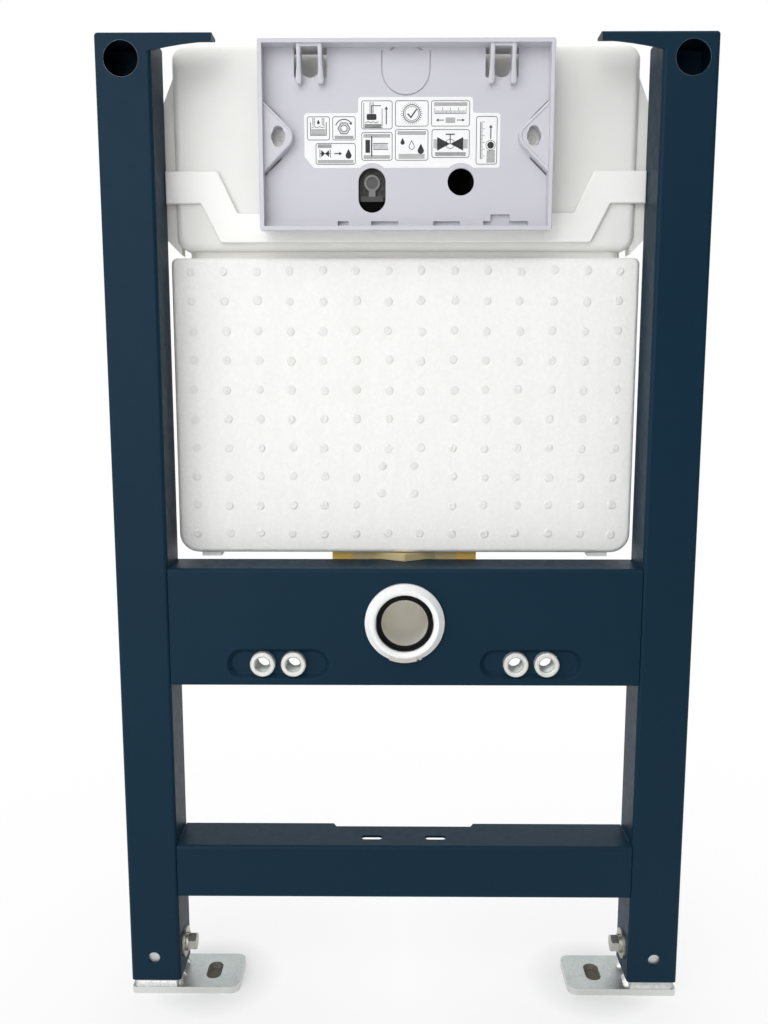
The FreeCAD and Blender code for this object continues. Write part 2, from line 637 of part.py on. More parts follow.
def lug_slits(side):
    """Slits through the panel beside a lug, along the part of its two edges next to the wall."""
    y = PANEL_FRONT - 1
    tip = V(side * (BOX_ROOM - LUG_REACH), y, LUG_LEVEL)
    slits = []
    for way in (-1, 1):
        root = V(side * BOX_ROOM, y, LUG_LEVEL + way * LUG_HEIGHT / 2)
        end = root + (tip - root) * LUG_SLIT_SHARE
        out = V(0, 0, way * LUG_SLIT_WIDTH)
        slits.append(prism([root, end, end + out, root + out], V(0, PANEL_THICK + 2, 0)))
    return slits


def left_box_lug():
    """Rounded lug on the panel, which runs in from the left wall of the box."""
    y = PANEL_FRONT - LUG_RISE
    tip = LUG_REACH - BOX_ROOM
    points = [V(-BOX_ROOM, y, LUG_LEVEL - LUG_HEIGHT / 2), V(tip, y, LUG_LEVEL),
              V(-BOX_ROOM, y, LUG_LEVEL + LUG_HEIGHT / 2)]
    shape = prism(points, V(0, LUG_RISE, 0))
    nose = [e for e in edges_along(shape, V(0, 1, 0)) if abs(e.CenterOfMass.x - tip) < 0.01]
    return shape.makeFillet(LUG_TIP_RADIUS, nose).cut(lug_hole(-1)).removeSplitter()


def window(x0, x1, low, top):
    """Upright cutter through the panel with a round lower end."""
    r = (x1 - x0) / 2
    body = block(x0, x1, PANEL_FRONT - 1, PANEL_BACK + 1, low + r, top)
    end = rod(2 * r, V((x0 + x1) / 2, PANEL_FRONT - 1, low + r), V(0, 1, 0), PANEL_THICK + 2)
    return body.fuse(end).removeSplitter()


def lever_slot():
    """Upright slot with round ends through the panel."""
    r = LEVER_SLOT_WIDTH / 2
    top = LEVER_SLOT_TOP - r
    return window(LEVER_SLOT_X - r, LEVER_SLOT_X + r, LEVER_SLOT_TOP - LEVER_SLOT_HEIGHT, top).fuse(
        rod(2 * r, V(LEVER_SLOT_X, PANEL_FRONT - 1, top), V(0, 1, 0), PANEL_THICK + 2))


def clip_windows(x):
    """Window between two clip fins, and a narrow slot on the far side of each fin."""
    low = BOX_CEILING - CLIP_WINDOW_HEIGHT
    near = (CLIP_FIN_SPACING - CLIP_FIN_THICK) / 2
    far = (CLIP_FIN_SPACING + CLIP_FIN_THICK) / 2
    edge = CLIP_WINDOW_WIDTH / 2
    spans = ((-near, near), (-edge, -far), (far, edge))
    return [window(x + a, x + b, low, BOX_CEILING) for a, b in spans]


def tab_outline(r, depth):
    """Tongue with a round lower end, standing on the front of the panel."""
    top = BOX_CEILING - TAB_GAP
    middle = BOX_TOP - TAB_DROP + TAB_WIDTH / 2
    y = PANEL_FRONT - 1
    back = y + 1 + depth
    return block(-r, r, y, back, middle, top).fuse(rod(2 * r, V(0, y, middle), V(0, 1, 0), back - y))


def tab_groove():
    """Groove round the push-out tab."""
    outer = tab_outline((TAB_WIDTH + GROOVE_WIDTH) / 2, GROOVE_DEPTH)
    return outer.cut(tab_outline((TAB_WIDTH - GROOVE_WIDTH) / 2, GROOVE_DEPTH))


def rib_gaps():
    """Cutters for the gaps in the foot rib, which go on through the panel."""
    y0 = PANEL_FRONT - RIB_DEPTH - 1
    low = BOX_FLOOR + under_rise(PANEL_FRONT)
    return [block(x - width / 2, x + width / 2, y0, PANEL_BACK + 1, low, RIB_TOP) for x, width in RIB_GAPS]


def under_rise(y):
    """Rise of the box's sloping underside at a depth behind its rim."""
    return max(0, y - BOX_RIM_BACK) * BOX_UNDERCUT / (BOX_BACK - BOX_RIM_BACK)


def box_slice(half, y0, y1, low, top):
    """Space across the box between two depths, over a floor that follows the underside."""
    points = [V(-half, y0, low + under_rise(y0)), V(-half, y1, low + under_rise(y1)), V(-half, y1, top),
              V(-half, y0, top)]
    return prism(points, V(2 * half, 0, 0))


def inspection_box():
    """Moulded tray over the service neck, with windows, a lever slot and a port."""
    half = BOX_WIDTH / 2
    outer = rounded_block(-half, half, BOX_FRONT, BOX_BACK, BOX_BOTTOM, BOX_TOP, BOX_CORNER, V(0, 1, 0))
    outer = outer.makeFillet(BOX_RIM, edges_at_depth(outer, BOX_FRONT))
    rim = block(-half, half, BOX_FRONT, BOX_RIM_BACK, BOX_BOTTOM, BOX_TOP)
    outer = outer.common(rim.fuse(box_slice(half, BOX_RIM_BACK, BOX_BACK, BOX_BOTTOM, BOX_TOP)))
    tray = box_slice(BOX_ROOM, BOX_FRONT - 1, PANEL_FRONT, BOX_FLOOR, BOX_CEILING)
    back = box_slice(BOX_ROOM, PANEL_BACK, BOX_BACK + 1, BOX_FLOOR, BOX_CEILING)
    rib = block(-BOX_ROOM, BOX_ROOM, PANEL_FRONT - RIB_DEPTH, PANEL_FRONT, BOX_FLOOR, RIB_TOP)
    shape = outer.cut([tray, back]).fuse(rib)
    snap_low = BOX_FLOOR + SNAP_RISE
    cutters = [lever_slot(), through_panel(PORT_DIA, PORT_X, PORT_LEVEL), tab_groove(), lug_hole(-1),
               lug_hole(1), block(SNAP_X - SNAP_WIDTH / 2, SNAP_X + SNAP_WIDTH / 2, PANEL_FRONT - 1,
                                  PANEL_BACK + 1, snap_low, snap_low + SNAP_HEIGHT)]
    cutters += rib_gaps()
    cutters += lug_slits(-1)
    cutters += lug_slits(1)
    cutters += clip_windows(-CLIP_SPACING / 2)
    cutters += clip_windows(CLIP_SPACING / 2)
    return shape.cut(cutters).removeSplitter()


def left_box_clip():
    """Two hooked fins from the top wall of the box back to its panel, joined by a bridge."""
    middle = -CLIP_SPACING / 2
    y0 = BOX_FRONT + CLIP_SETBACK
    root = y0 + CLIP_ROOT_DEPTH
    shoulder = BOX_CEILING - CLIP_ROOT_HEIGHT
    low = BOX_CEILING - CLIP_FIN_HEIGHT
    half = CLIP_FIN_THICK / 2
    outline = [(y0, BOX_CEILING), (root, BOX_CEILING), (root, shoulder), (PANEL_FRONT, shoulder),
               (PANEL_FRONT, low), (PANEL_FRONT - CLIP_TIP_DEPTH, low), (y0, shoulder)]
    fins = []
    for x in (middle - CLIP_FIN_SPACING / 2, middle + CLIP_FIN_SPACING / 2):
        fin = prism([V(x - half, y, z) for y, z in outline], V(CLIP_FIN_THICK, 0, 0))
        bends = [e for e in edges_along(fin, V(1, 0, 0))
                 if low + 1 < e.CenterOfMass.z < BOX_CEILING - 1 and e.CenterOfMass.y < PANEL_FRONT - 1]
        fins.append(fin.makeFillet(CLIP_ROUND, bends))
    bridge = block(middle - CLIP_FIN_SPACING / 2, middle + CLIP_FIN_SPACING / 2, y0, root,
                   BOX_CEILING - CLIP_BRIDGE, BOX_CEILING)
    return bridge.fuse(fins).removeSplitter()


def flush_lever():
    """Lever of the flush valve: a dished eye on a stem, on a foot in the service neck."""
    y0 = PANEL_BACK + LEVER_SETBACK
    y1 = y0 + LEVER_THICK
    base = NECK_BOTTOM + TANK_WALL + LEVER_SEAT_GAP
    level = BOX_TOP - LEVER_EYE_DROP
    foot = block(LEVER_SLOT_X - LEVER_FOOT_WIDTH / 2, LEVER_SLOT_X + LEVER_FOOT_WIDTH / 2, y0, y1,
                 base, base + LEVER_FOOT_HEIGHT)
    stem = block(LEVER_SLOT_X - LEVER_STEM / 2, LEVER_SLOT_X + LEVER_STEM / 2, y0, y1, base, level)
    eye = rod(LEVER_EYE_DIA, V(LEVER_SLOT_X, y0, level), V(0, 1, 0), LEVER_THICK)
    dish = rod(LEVER_EYE_DIA - 2 * LEVER_EYE_RIM, V(LEVER_SLOT_X, y0 - 1, level), V(0, 1, 0),
               1 + LEVER_EYE_DISH)
    return foot.fuse([stem, eye]).cut(dish).removeSplitter()


def outlet_nut():
    """Nut that clamps the flush bend to the tank: a six sided flange with wings under a hub."""
    base = FOAM_BOTTOM - NUT_BELOW
    flange = prism(hexagon(NUT_CORNERS, lambda a, b: V(a, OUTLET_SETBACK + b, base)), V(0, 0, NUT_FLANGE))
    flange = flange.makeFillet(NUT_ROUND, edges_along(flange, V(0, 0, 1)))
    wings = block(-NUT_SPAN / 2, NUT_SPAN / 2, OUTLET_SETBACK - NUT_WING / 2, OUTLET_SETBACK + NUT_WING / 2,
                  base - NUT_WING_DROP, base + NUT_FLANGE)
    hub = rod(NUT_HUB_DIA, V(0, OUTLET_SETBACK, base), V(0, 0, 1), NUT_HEIGHT)
    start = V(0, OUTLET_SETBACK, base - NUT_WING_DROP - 1)
    bore = rod(SPIGOT_DIA + 2 * PIPE_FIT, start, V(0, 0, 1), NUT_WING_DROP + NUT_HEIGHT + 2)
    return flange.fuse([wings, hub]).cut(bore).removeSplitter()


def bent_rod(dia):
    """Round rod down from the tank outlet, round a bend and forward to the collar."""
    r = BEND_LINE_RADIUS
    knee = V(0, OUTLET_SETBACK, FLUSH_LEVEL + r)
    front = COLLAR_FRONT + COLLAR_FUNNEL + SEAL_LENGTH
    upright = rod(dia, knee, V(0, 0, 1), SPIGOT_BOTTOM + PIPE_ENTRY - knee.z)
    level = rod(dia, V(0, front, FLUSH_LEVEL), V(0, 1, 0), OUTLET_SETBACK - r - front)
    section = Part.Face(Part.Wire([Part.makeCircle(dia / 2, knee, V(0, 0, 1))]))
    elbow = section.revolve(V(0, OUTLET_SETBACK - r, knee.z), V(-1, 0, 0), 90)
    return elbow.fuse([upright, level]).removeSplitter()


def flush_bend():
    return bent_rod(PIPE_DIA).cut(bent_rod(PIPE_DIA - 2 * PIPE_WALL))


def turned(edges):
    """Ring turned about the flush axis from the edges of its section."""
    return Part.Face(Part.Wire(edges)).revolve(V(0, 0, FLUSH_LEVEL), V(0, 1, 0), 360)


def quarter(centre, start, end):
    """Quarter arc between two points about a centre."""
    spoke = (start + end) / 2 - centre
    return Part.Arc(start, centre + spoke.normalize() * (start - centre).Length, end).toShape()


def flush_collar():
    """Collar on the front of the crossbar, with a bevelled rim and a round funnel to its seal."""
    bore = PIPE_DIA / 2 + PIPE_FIT
    r = COLLAR_DIA / 2
    z = FLUSH_LEVEL
    rim = V(r, COLLAR_FRONT + COLLAR_BEVEL, z)
    crest = V(r - COLLAR_BEVEL, COLLAR_FRONT, z)
    mouth = V(bore + COLLAR_FUNNEL, COLLAR_FRONT, z)
    throat = V(bore, SEAL_FRONT, z)
    inside = V(bore, 0, z)
    outside = V(r, 0, z)
    return turned([Part.makeLine(inside, outside), Part.makeLine(outside, rim),
                   Part.makeLine(rim, crest), Part.makeLine(crest, mouth),
                   quarter(V(mouth.x, throat.y, z), mouth, throat), Part.makeLine(throat, inside)])


def flush_seal():
    """Rubber lip ring between the collar and the end of the flush pipe."""
    outer = PIPE_DIA / 2
    bore = outer - PIPE_WALL
    back = SEAL_FRONT + SEAL_LENGTH
    corners = [V(bore, SEAL_FRONT, FLUSH_LEVEL), V(outer, SEAL_FRONT, FLUSH_LEVEL),
               V(outer, back, FLUSH_LEVEL), V(bore, back, FLUSH_LEVEL)]
    return turned(Part.makePolygon(corners + [corners[0]]).Edges)


def pieces():
    """Every piece of the frame by name."""
    found = {"upper_crossbar": upper_crossbar(), "lower_crossbar": lower_crossbar(),
             "cistern_tank": cistern_tank(), "foam_jacket": foam_jacket(), "tank_strap": tank_strap(),
             "inspection_box": inspection_box(), "flush_lever": flush_lever(),
             "outlet_nut": outlet_nut(), "flush_bend": flush_bend(), "flush_collar": flush_collar(),
             "flush_seal": flush_seal()}
    for name, x in sleeve_places():
        found[name] = sleeve(x)
    pairs = {"post": left_post(), "leg": left_leg(), "foot_plate": left_foot_plate(),
             "washer": left_washer(), "spring_washer": left_spring_washer(),
             "clamp_bolt": left_clamp_bolt(), "box_clip": left_box_clip(), "box_lug": left_box_lug()}
    for name, shape in pairs.items():
        found["left_" + name] = shape
        found["right_" + name] = mirrored(shape)
    return found


def main():
    os.makedirs("parts", exist_ok=True)
    for name, shape in pieces().items():
        shape.translate(V(0, -ORIGIN_Y, 0))
        shape.exportStep("parts/" + name + ".step")
        print(name, len(shape.Solids), shape.isValid(), round(shape.Volume))


main()
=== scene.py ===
import json
import math
import random

import bmesh
import bpy
from mathutils import Matrix, Vector


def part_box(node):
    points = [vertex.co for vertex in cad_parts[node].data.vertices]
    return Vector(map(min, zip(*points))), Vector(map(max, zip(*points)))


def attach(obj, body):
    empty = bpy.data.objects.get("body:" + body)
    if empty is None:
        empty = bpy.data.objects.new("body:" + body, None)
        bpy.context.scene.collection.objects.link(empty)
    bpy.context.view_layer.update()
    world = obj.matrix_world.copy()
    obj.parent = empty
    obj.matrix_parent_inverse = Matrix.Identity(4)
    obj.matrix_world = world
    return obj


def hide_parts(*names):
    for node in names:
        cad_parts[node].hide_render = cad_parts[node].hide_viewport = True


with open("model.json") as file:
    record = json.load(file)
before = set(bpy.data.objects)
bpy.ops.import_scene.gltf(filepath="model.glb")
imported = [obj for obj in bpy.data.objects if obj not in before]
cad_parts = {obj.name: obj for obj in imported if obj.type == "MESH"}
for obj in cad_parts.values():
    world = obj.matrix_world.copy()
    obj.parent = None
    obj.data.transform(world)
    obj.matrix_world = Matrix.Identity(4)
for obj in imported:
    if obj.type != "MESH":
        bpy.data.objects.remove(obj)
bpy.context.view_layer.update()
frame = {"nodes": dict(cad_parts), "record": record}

nodes = frame["nodes"]
MM = 0.001
UP = Vector((0, 0, 1))
BACK = Vector((0, 1, 0))
random.seed(7)

# Places taken from the solids
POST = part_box("left_post")
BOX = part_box("inspection_box")
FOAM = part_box("foam_jacket")
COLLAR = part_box("flush_collar")
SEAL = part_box("flush_seal")
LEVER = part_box("flush_lever")
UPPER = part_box("upper_crossbar")
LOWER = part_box("lower_crossbar")
PANEL_Y = BOX[0].y + 13 * MM
BOX_TOP = BOX[1].z
FRONT_Y = POST[0].y

# Millimetres across the box from its middle, and down from its top
SLOT_X = -26.0
PORT_X = 42.5
OPENING_DROP = 101.0
EYE_DROP = 101.2
LUG_HOLE_X = 97.1
LUG_HOLE_DROP = 69.0


class Nodes:
    """A node tree that is filled step by step."""

    def __init__(self, tree):
        self.tree = tree

    def fill(self, socket, value):
        """Links a socket to an output, or sets its value."""
        if isinstance(value, bpy.types.NodeSocket):
            self.tree.links.new(value, socket)
        else:
            socket.default_value = value

    def add(self, kind, sockets=None, **properties):
        node = self.tree.nodes.new(kind)
        for key, value in properties.items():
            setattr(node, key, value)
        for key, value in (sockets or {}).items():
            self.fill(node.inputs[key], value)
        return node

    def maths(self, operation, *values, **properties):
        sockets = dict(enumerate(values))
        return self.add("ShaderNodeMath", sockets, operation=operation, **properties).outputs[0]

    def vector(self, operation, output, *values):
        sockets = dict(enumerate(values))
        return self.add("ShaderNodeVectorMath", sockets, operation=operation).outputs[output]

    def seen(self, **properties):
        """1 where a surface is seen, straight, mirrored or through another, else 0."""
        path = self.add("ShaderNodeLightPath").outputs
        direct = self.maths("ADD", path["Is Camera Ray"], path["Is Glossy Ray"])
        return self.maths("ADD", direct, path["Is Transmission Ray"], **properties)


class Look(Nodes):
    """A material that starts from one shader and gains texture step by step."""

    # Places of the share, the two colours and the result among the sockets of a colour mix
    MIX_INPUTS = (0, 6, 7)
    MIX_RESULT = 2

    def __init__(self, name, **values):
        self.material = bpy.data.materials.new(name)
        self.material.use_nodes = True
        super().__init__(self.material.node_tree)
        self.shader = self.tree.nodes["Principled BSDF"]
        for key, value in values.items():
            self.shader.inputs[key.replace("_", " ")].default_value = value
        self.place = self.add("ShaderNodeTexCoord").outputs["Object"]
        self.normal = None

    def stretched(self, scale):
        return self.add("ShaderNodeMapping", {"Vector": self.place, "Scale": scale}).outputs["Vector"]

    def axis(self, name, vector=None):
        return self.add("ShaderNodeSeparateXYZ", {"Vector": vector or self.place}).outputs[name]

    def noise(self, scale, detail=2.0, roughness=0.5, place=None):
        sockets = {"Vector": place or self.place, "Scale": scale, "Detail": detail,
                   "Roughness": roughness}
        return self.add("ShaderNodeTexNoise", sockets).outputs["Fac"]

    def cells(self, scale):
        sockets = {"Vector": self.place, "Scale": scale}
        return self.add("ShaderNodeTexVoronoi", sockets).outputs["Distance"]

    def step(self, value, start, end):
        """0 to 1 while a value goes from start to end."""
        sockets = {"Value": value, "From Min": start, "From Max": end}
        return self.add("ShaderNodeMapRange", sockets).outputs["Result"]

    def ramp(self, value, stops):
        """Colours or grey levels at positions along a value."""
        node = self.add("ShaderNodeValToRGB", {"Fac": value})
        elements = node.color_ramp.elements
        for spot, (position, tone) in enumerate(stops):
            element = elements[spot] if spot < 2 else elements.new(position)
            element.position = position
            element.color = (*tone, 1.0) if isinstance(tone, tuple) else (tone, tone, tone, 1.0)
        return node.outputs["Color"]

    def mottled(self, noise, first, second, spots=(0.3, 0.7)):
        """Two colours or grey levels that run into each other over a noise."""
        return self.ramp(self.noise(*noise), [(spots[0], first), (spots[1], second)])

    def mixed(self, share, first, second):
        node = self.add("ShaderNodeMix", data_type="RGBA")
        for spot, value in zip(self.MIX_INPUTS, (share, first, second)):
            self.fill(node.inputs[spot], (*value, 1.0) if isinstance(value, tuple) else value)
        return node.outputs[self.MIX_RESULT]

    def drive(self, key, socket):
        self.tree.links.new(socket, self.shader.inputs[key])

    def bump(self, height, distance, strength):
        sockets = {"Height": height, "Distance": distance, "Strength": strength}
        if self.normal is not None:
            sockets["Normal"] = self.normal
        self.normal = self.add("ShaderNodeBump", sockets).outputs["Normal"]
        self.drive("Normal", self.normal)


# Tone and gloss: a noise (scale, detail, roughness) and the two ends it runs between.
# Bumps: a noise, the height in metres and the strength.
PLAIN_LOOKS = {
    "bolt_zinc": dict(
        tone=((160.0, 4.0, 0.6), (0.40, 0.395, 0.36), (0.50, 0.495, 0.455)),
        gloss=((220.0, 3.0), 0.34, 0.44),
        bumps=[((900.0, 3.0, 0.6), 0.00005, 0.4)],
        Metallic=1.0),
    "weld_metal": dict(
        tone=((260.0, 4.0, 0.6), (0.58, 0.59, 0.575), (0.78, 0.785, 0.77)),
        gloss=((300.0, 3.0), 0.26, 0.42),
        bumps=[((420.0, 4.0, 0.7), 0.0003, 0.6)],
        Metallic=0.7),
    "sleeve_zinc": dict(
        tone=((140.0, 4.0, 0.6), (0.70, 0.705, 0.67), (0.80, 0.805, 0.77)),
        gloss=((200.0, 3.0), 0.38, 0.52),
        bumps=[((800.0, 3.0, 0.6), 0.00006, 0.4)],
        Metallic=0.55),
    "cut_edge": dict(
        tone=((400.0, 3.0), (0.10, 0.13, 0.15), (0.20, 0.23, 0.25)),
        gloss=((500.0, 2.0), 0.25, 0.4),
        bumps=[((900.0, 2.0), 0.00004, 0.3)],
        Metallic=1.0),
    "tank_plastic": dict(
        tone=((9.0, 3.0), (0.84, 0.833, 0.785), (0.88, 0.873, 0.83)),
        gloss=((70.0, 3.0), 0.42, 0.55),
        bumps=[((45.0, 2.0), 0.0004, 0.2), ((1300.0, 2.0), 0.00005, 0.3)],
        Specular_IOR_Level=0.35, Subsurface_Weight=0.35,
        Subsurface_Radius=(0.03, 0.028, 0.024), Subsurface_Scale=0.35),
    "strap_plastic": dict(
        tone=((16.0, 3.0), (0.93, 0.926, 0.885), (0.95, 0.947, 0.91)),
        gloss=((80.0, 3.0), 0.38, 0.5),
        bumps=[((1500.0, 2.0), 0.00005, 0.25)],
        Specular_IOR_Level=0.35, Subsurface_Weight=0.3,
        Subsurface_Radius=(0.02, 0.019, 0.017), Subsurface_Scale=0.25),
    "pipe_plastic": dict(
        tone=((26.0, 3.0), (0.95, 0.89, 0.735), (0.97, 0.92, 0.78)),
        gloss=((90.0, 3.0), 0.34, 0.48),
        bumps=[((240.0, 2.0), 0.0001, 0.25)],
        Specular_IOR_Level=0.4, Subsurface_Weight=0.8,
        Subsurface_Radius=(0.03, 0.028, 0.022), Subsurface_Scale=0.9),
    "box_plastic": dict(
        tone=((14.0, 3.0), (0.572, 0.567, 0.618), (0.602, 0.597, 0.648)),
        gloss=((120.0, 3.0), 0.34, 0.46),
        bumps=[((2200.0, 2.0), 0.00004, 0.35)],
        Specular_IOR_Level=0.4),
    "block_plastic": dict(
        tone=((260.0, 4.0, 0.6), (0.026, 0.027, 0.026), (0.075, 0.077, 0.074)),
        gloss=((300.0, 2.0), 0.4, 0.55),
        bumps=[((700.0, 2.0), 0.00008, 0.4)],
        Specular_IOR_Level=0.25),
    # Near black and almost without gloss: painted shade on the tray in the service neck, and the black
    # of the neck gasket
    "near_black_and_painted_shade": dict(
        tone=((200.0, 3.0), (0.002, 0.002, 0.002), (0.004, 0.004, 0.004)),
        gloss=((240.0, 3.0), 0.7, 0.85),
        bumps=[((900.0, 2.0), 0.00006, 0.4)],
        Specular_IOR_Level=0.02),
    "collar_plastic": dict(
        tone=((30.0, 3.0), (0.89, 0.895, 0.895), (0.92, 0.925, 0.925)),
        gloss=((120.0, 2.0), 0.2, 0.3),
        bumps=[((300.0, 2.0), 0.00006, 0.2)],
        Coat_Weight=0.5, Coat_Roughness=0.12),
    # Darker, warmer copy of the collar's white plastic for its flat catch: painted shade
    "tab_painted_shade": dict(
        tone=((60.0, 3.0), (0.50, 0.475, 0.43), (0.57, 0.545, 0.50)),
        gloss=((120.0, 2.0), 0.35, 0.5),
        bumps=[((300.0, 2.0), 0.00006, 0.2)],
        Specular_IOR_Level=0.4),
    "seal_rubber": dict(
        tone=((200.0, 3.0), (0.003, 0.003, 0.0035), (0.007, 0.007, 0.0075)),
        gloss=((240.0, 3.0), 0.36, 0.52),
        bumps=[((1600.0, 2.0), 0.00005, 0.4)],
        Specular_IOR_Level=0.1),
    "label_paper": dict(
        tone=((90.0, 4.0), (0.86, 0.86, 0.87), (0.90, 0.90, 0.905)),
        gloss=((200.0, 3.0), 0.42, 0.55),
        bumps=[((1800.0, 3.0), 0.00002, 0.4)],
        Specular_IOR_Level=0.4),
    "label_ink": dict(
        tone=((900.0, 3.0), (0.016, 0.016, 0.018), (0.05, 0.05, 0.052), (0.3, 0.75)),
        gloss=((500.0, 2.0), 0.5, 0.65),
        bumps=[],
        Specular_IOR_Level=0.3),
}


def plain_look(name, tone, gloss, bumps, **values):
    """One mottled tone with mottled gloss and a fine grain."""
    look = Look(name, **values)
    look.drive("Base Color", look.mottled(*tone))
    look.drive("Roughness", look.mottled(*gloss))
    for noise, distance, strength in bumps:
        look.bump(look.noise(*noise), distance, strength)
    return look.material


def powder_coat():
    """Dark blue coating with pale specks and a slight orange peel."""
    look = Look("frame_coating", Specular_IOR_Level=0.1)
    tone = look.mottled((5.0, 3.0), (0.0040, 0.0220, 0.0420), (0.0048, 0.0245, 0.0460))
    speck = look.mottled((2600.0, 1.0), 0.0, 0.12, (0.45, 0.8))
    look.drive("Base Color", look.mixed(speck, tone, (0.014, 0.040, 0.068)))
    look.drive("Roughness", look.mottled((140.0, 2.0), 0.40, 0.48))
    look.bump(look.noise(900.0, 2.0), 0.00006, 0.35)
    look.bump(look.noise(220.0, 1.0), 0.0001, 0.25)
    return look.material


def spangled(look, crystal_scale, cloud_scale, light, dark, bloom):
    """Zinc crystals between two tones, under clouds of a third."""
    crystals = look.ramp(look.cells(crystal_scale), [(0.1, 0.0), (0.7, 0.6)])
    clouds = look.mottled((cloud_scale, 4.0, 0.6), 0.0, 0.5, (0.35, 0.75))
    return look.mixed(clouds, look.mixed(crystals, light, dark), bloom)


def rolled(look):
    """Gloss, grain and long streaks of rolled sheet."""
    look.drive("Roughness", look.mottled((90.0, 3.0), 0.36, 0.52))
    look.bump(look.noise(700.0, 4.0, 0.7), 0.00008, 0.5)
    look.bump(look.noise(60.0, 3.0, 0.6, look.stretched((1.0, 12.0, 1.0))), 0.0001, 0.25)


def zinc_plate():
    look = Look("zinc", Metallic=1.0)
    tone = spangled(look, 420.0, 60.0, (0.48, 0.515, 0.505), (0.37, 0.40, 0.40), (0.57, 0.595, 0.575))
    look.drive("Base Color", tone)
    rolled(look)
    return look.material


def plate_zinc_edge_highlight():
    """Zinc of the foot plates, with a painted highlight that makes their cut edges brighter than their
    tops.
    """
    look = Look("plate_zinc_edge_highlight", Metallic=1.0)
    tone = spangled(look, 420.0, 60.0, (0.44, 0.475, 0.465), (0.34, 0.37, 0.37), (0.51, 0.54, 0.525))
    facing = look.axis("Z", look.add("ShaderNodeNewGeometry").outputs["True Normal"])
    # painted highlight: faces that don't face up get a brighter zinc colour
    edge_painted_highlight = look.step(facing, 0.8, 0.3)
    look.drive("Base Color", look.mixed(edge_painted_highlight, tone, (0.70, 0.715, 0.695)))
    rolled(look)
    return look.material


def leg_zinc_painted_light():
    look = Look("leg_zinc_painted_light", Metallic=0.9)
    # painted light: a lighter copy of the zinc, so the legs look bright through the small holes in the
    # posts
    tone = spangled(look, 300.0, 50.0, (0.60, 0.615, 0.60), (0.52, 0.535, 0.525), (0.70, 0.71, 0.69))
    look.drive("Base Color", tone)
    look.drive("Roughness", look.mottled((90.0, 3.0), 0.38, 0.54))
    look.bump(look.noise(700.0, 4.0, 0.7), 0.00008, 0.5)
    return look.material


def bead_foam(name, grain, level):
    """Foam of pressed beads. The grain scales its relief, and the level its brightness."""
    look = Look(name, Specular_IOR_Level=0.2, Subsurface_Weight=0.15,
                Subsurface_Radius=(0.006, 0.006, 0.006), Subsurface_Scale=0.2)
    streak = look.noise(70.0, 4.0, 0.6, look.stretched((1.0, 1.0, 0.16)))
    bead = look.cells(300.0)
    pore = look.cells(900.0)
    dull = tuple(part * level for part in (0.905, 0.905, 0.88))
    bright = tuple(part * level for part in (0.94, 0.94, 0.915))
    tone = look.ramp(streak, [(0.25, dull), (0.75, bright)])
    seam = look.ramp(bead, [(0.35, 0.0), (0.75, 0.10)])
    look.drive("Base Color", look.mixed(seam, tone, (0.72, 0.72, 0.71)))
    look.drive("Roughness", look.ramp(streak, [(0.3, 0.72), (0.7, 0.85)]))
    look.bump(look.ramp(bead, [(0.1, 1.0), (0.7, 0.0)]), 0.00035 * grain, 0.4)
    look.bump(streak, 0.0008, 0.32)
    look.bump(look.ramp(pore, [(0.0, 0.0), (0.4, 1.0)]), 0.00016 * grain, 0.5)
    return look.material


def lever_plastic():
    """Grey plastic, with painted shade in the dish of the lever's eye and on its foot."""
    look = Look("lever_plastic", Specular_IOR_Level=0.4)
    tone = look.mottled((120.0, 3.0), (0.155, 0.155, 0.155), (0.20, 0.20, 0.198))
    eye = (SLOT_X * MM, 0.0, BOX_TOP - EYE_DROP * MM)
    out = look.vector("DISTANCE", "Value", look.stretched((1.0, 0.0, 1.0)), eye)
    # painted shade: the dish of the eye is darker than the rest of the lever
    dish_painted_shade = look.step(out, 0.0047, 0.0043)
    tone = look.mixed(dish_painted_shade, tone, (0.075, 0.076, 0.078))
    # painted shade: the lever's foot is near black, so it sinks into the dark of the slot
    top, blur = LEVER[0].z + 4.8 * MM, 0.3 * MM
    foot = look.step(look.axis("Z"), top + blur, top - blur)
    look.drive("Base Color", look.mixed(foot, tone, (0.045, 0.046, 0.046)))
    look.drive("Roughness", look.mottled((300.0, 2.0), 0.35, 0.5))
    look.bump(look.noise(2000.0, 2.0), 0.00004, 0.4)
    return look.material


def nut_plastic():
    """Pale amber plastic, deeper in colour on the wings."""
    look = Look("nut_plastic", Specular_IOR_Level=0.5, Subsurface_Weight=0.4,
                Subsurface_Radius=(0.01, 0.007, 0.002), Subsurface_Scale=0.4)
    across = look.maths("ABSOLUTE", look.axis("X"))
    tone = look.mottled((60.0, 3.0), (0.58, 0.48, 0.245), (0.64, 0.54, 0.30))
    wing = look.step(across, 0.0430, 0.0445)
    look.drive("Base Color", look.mixed(wing, tone, (0.80, 0.55, 0.12)))
    look.drive("Roughness", look.mottled((150.0, 2.0), 0.28, 0.42))
    look.bump(look.noise(500.0, 2.0), 0.00008, 0.3)
    return look.material


looks = {name: plain_look(name, **traits) for name, traits in PLAIN_LOOKS.items()}
looks["frame_coating"] = powder_coat()
looks["zinc"] = zinc_plate()
looks["plate_zinc_edge_highlight"] = plate_zinc_edge_highlight()
looks["leg_zinc_painted_light"] = leg_zinc_painted_light()
looks["foam"] = bead_foam("foam", 1.0, 1.0)
looks["foam_dot"] = bead_foam("foam_dot", 2.6, 0.93)
looks["lever_plastic"] = lever_plastic()
looks["nut_plastic"] = nut_plastic()

# Solids whose look differs from that of their slot
OWN_LOOKS = {"foot_plate": "plate_zinc_edge_highlight", "leg": "leg_zinc_painted_light", "clamp_bolt": "bolt_zinc",
             "washer": "bolt_zinc", "spring_washer": "bolt_zinc"}

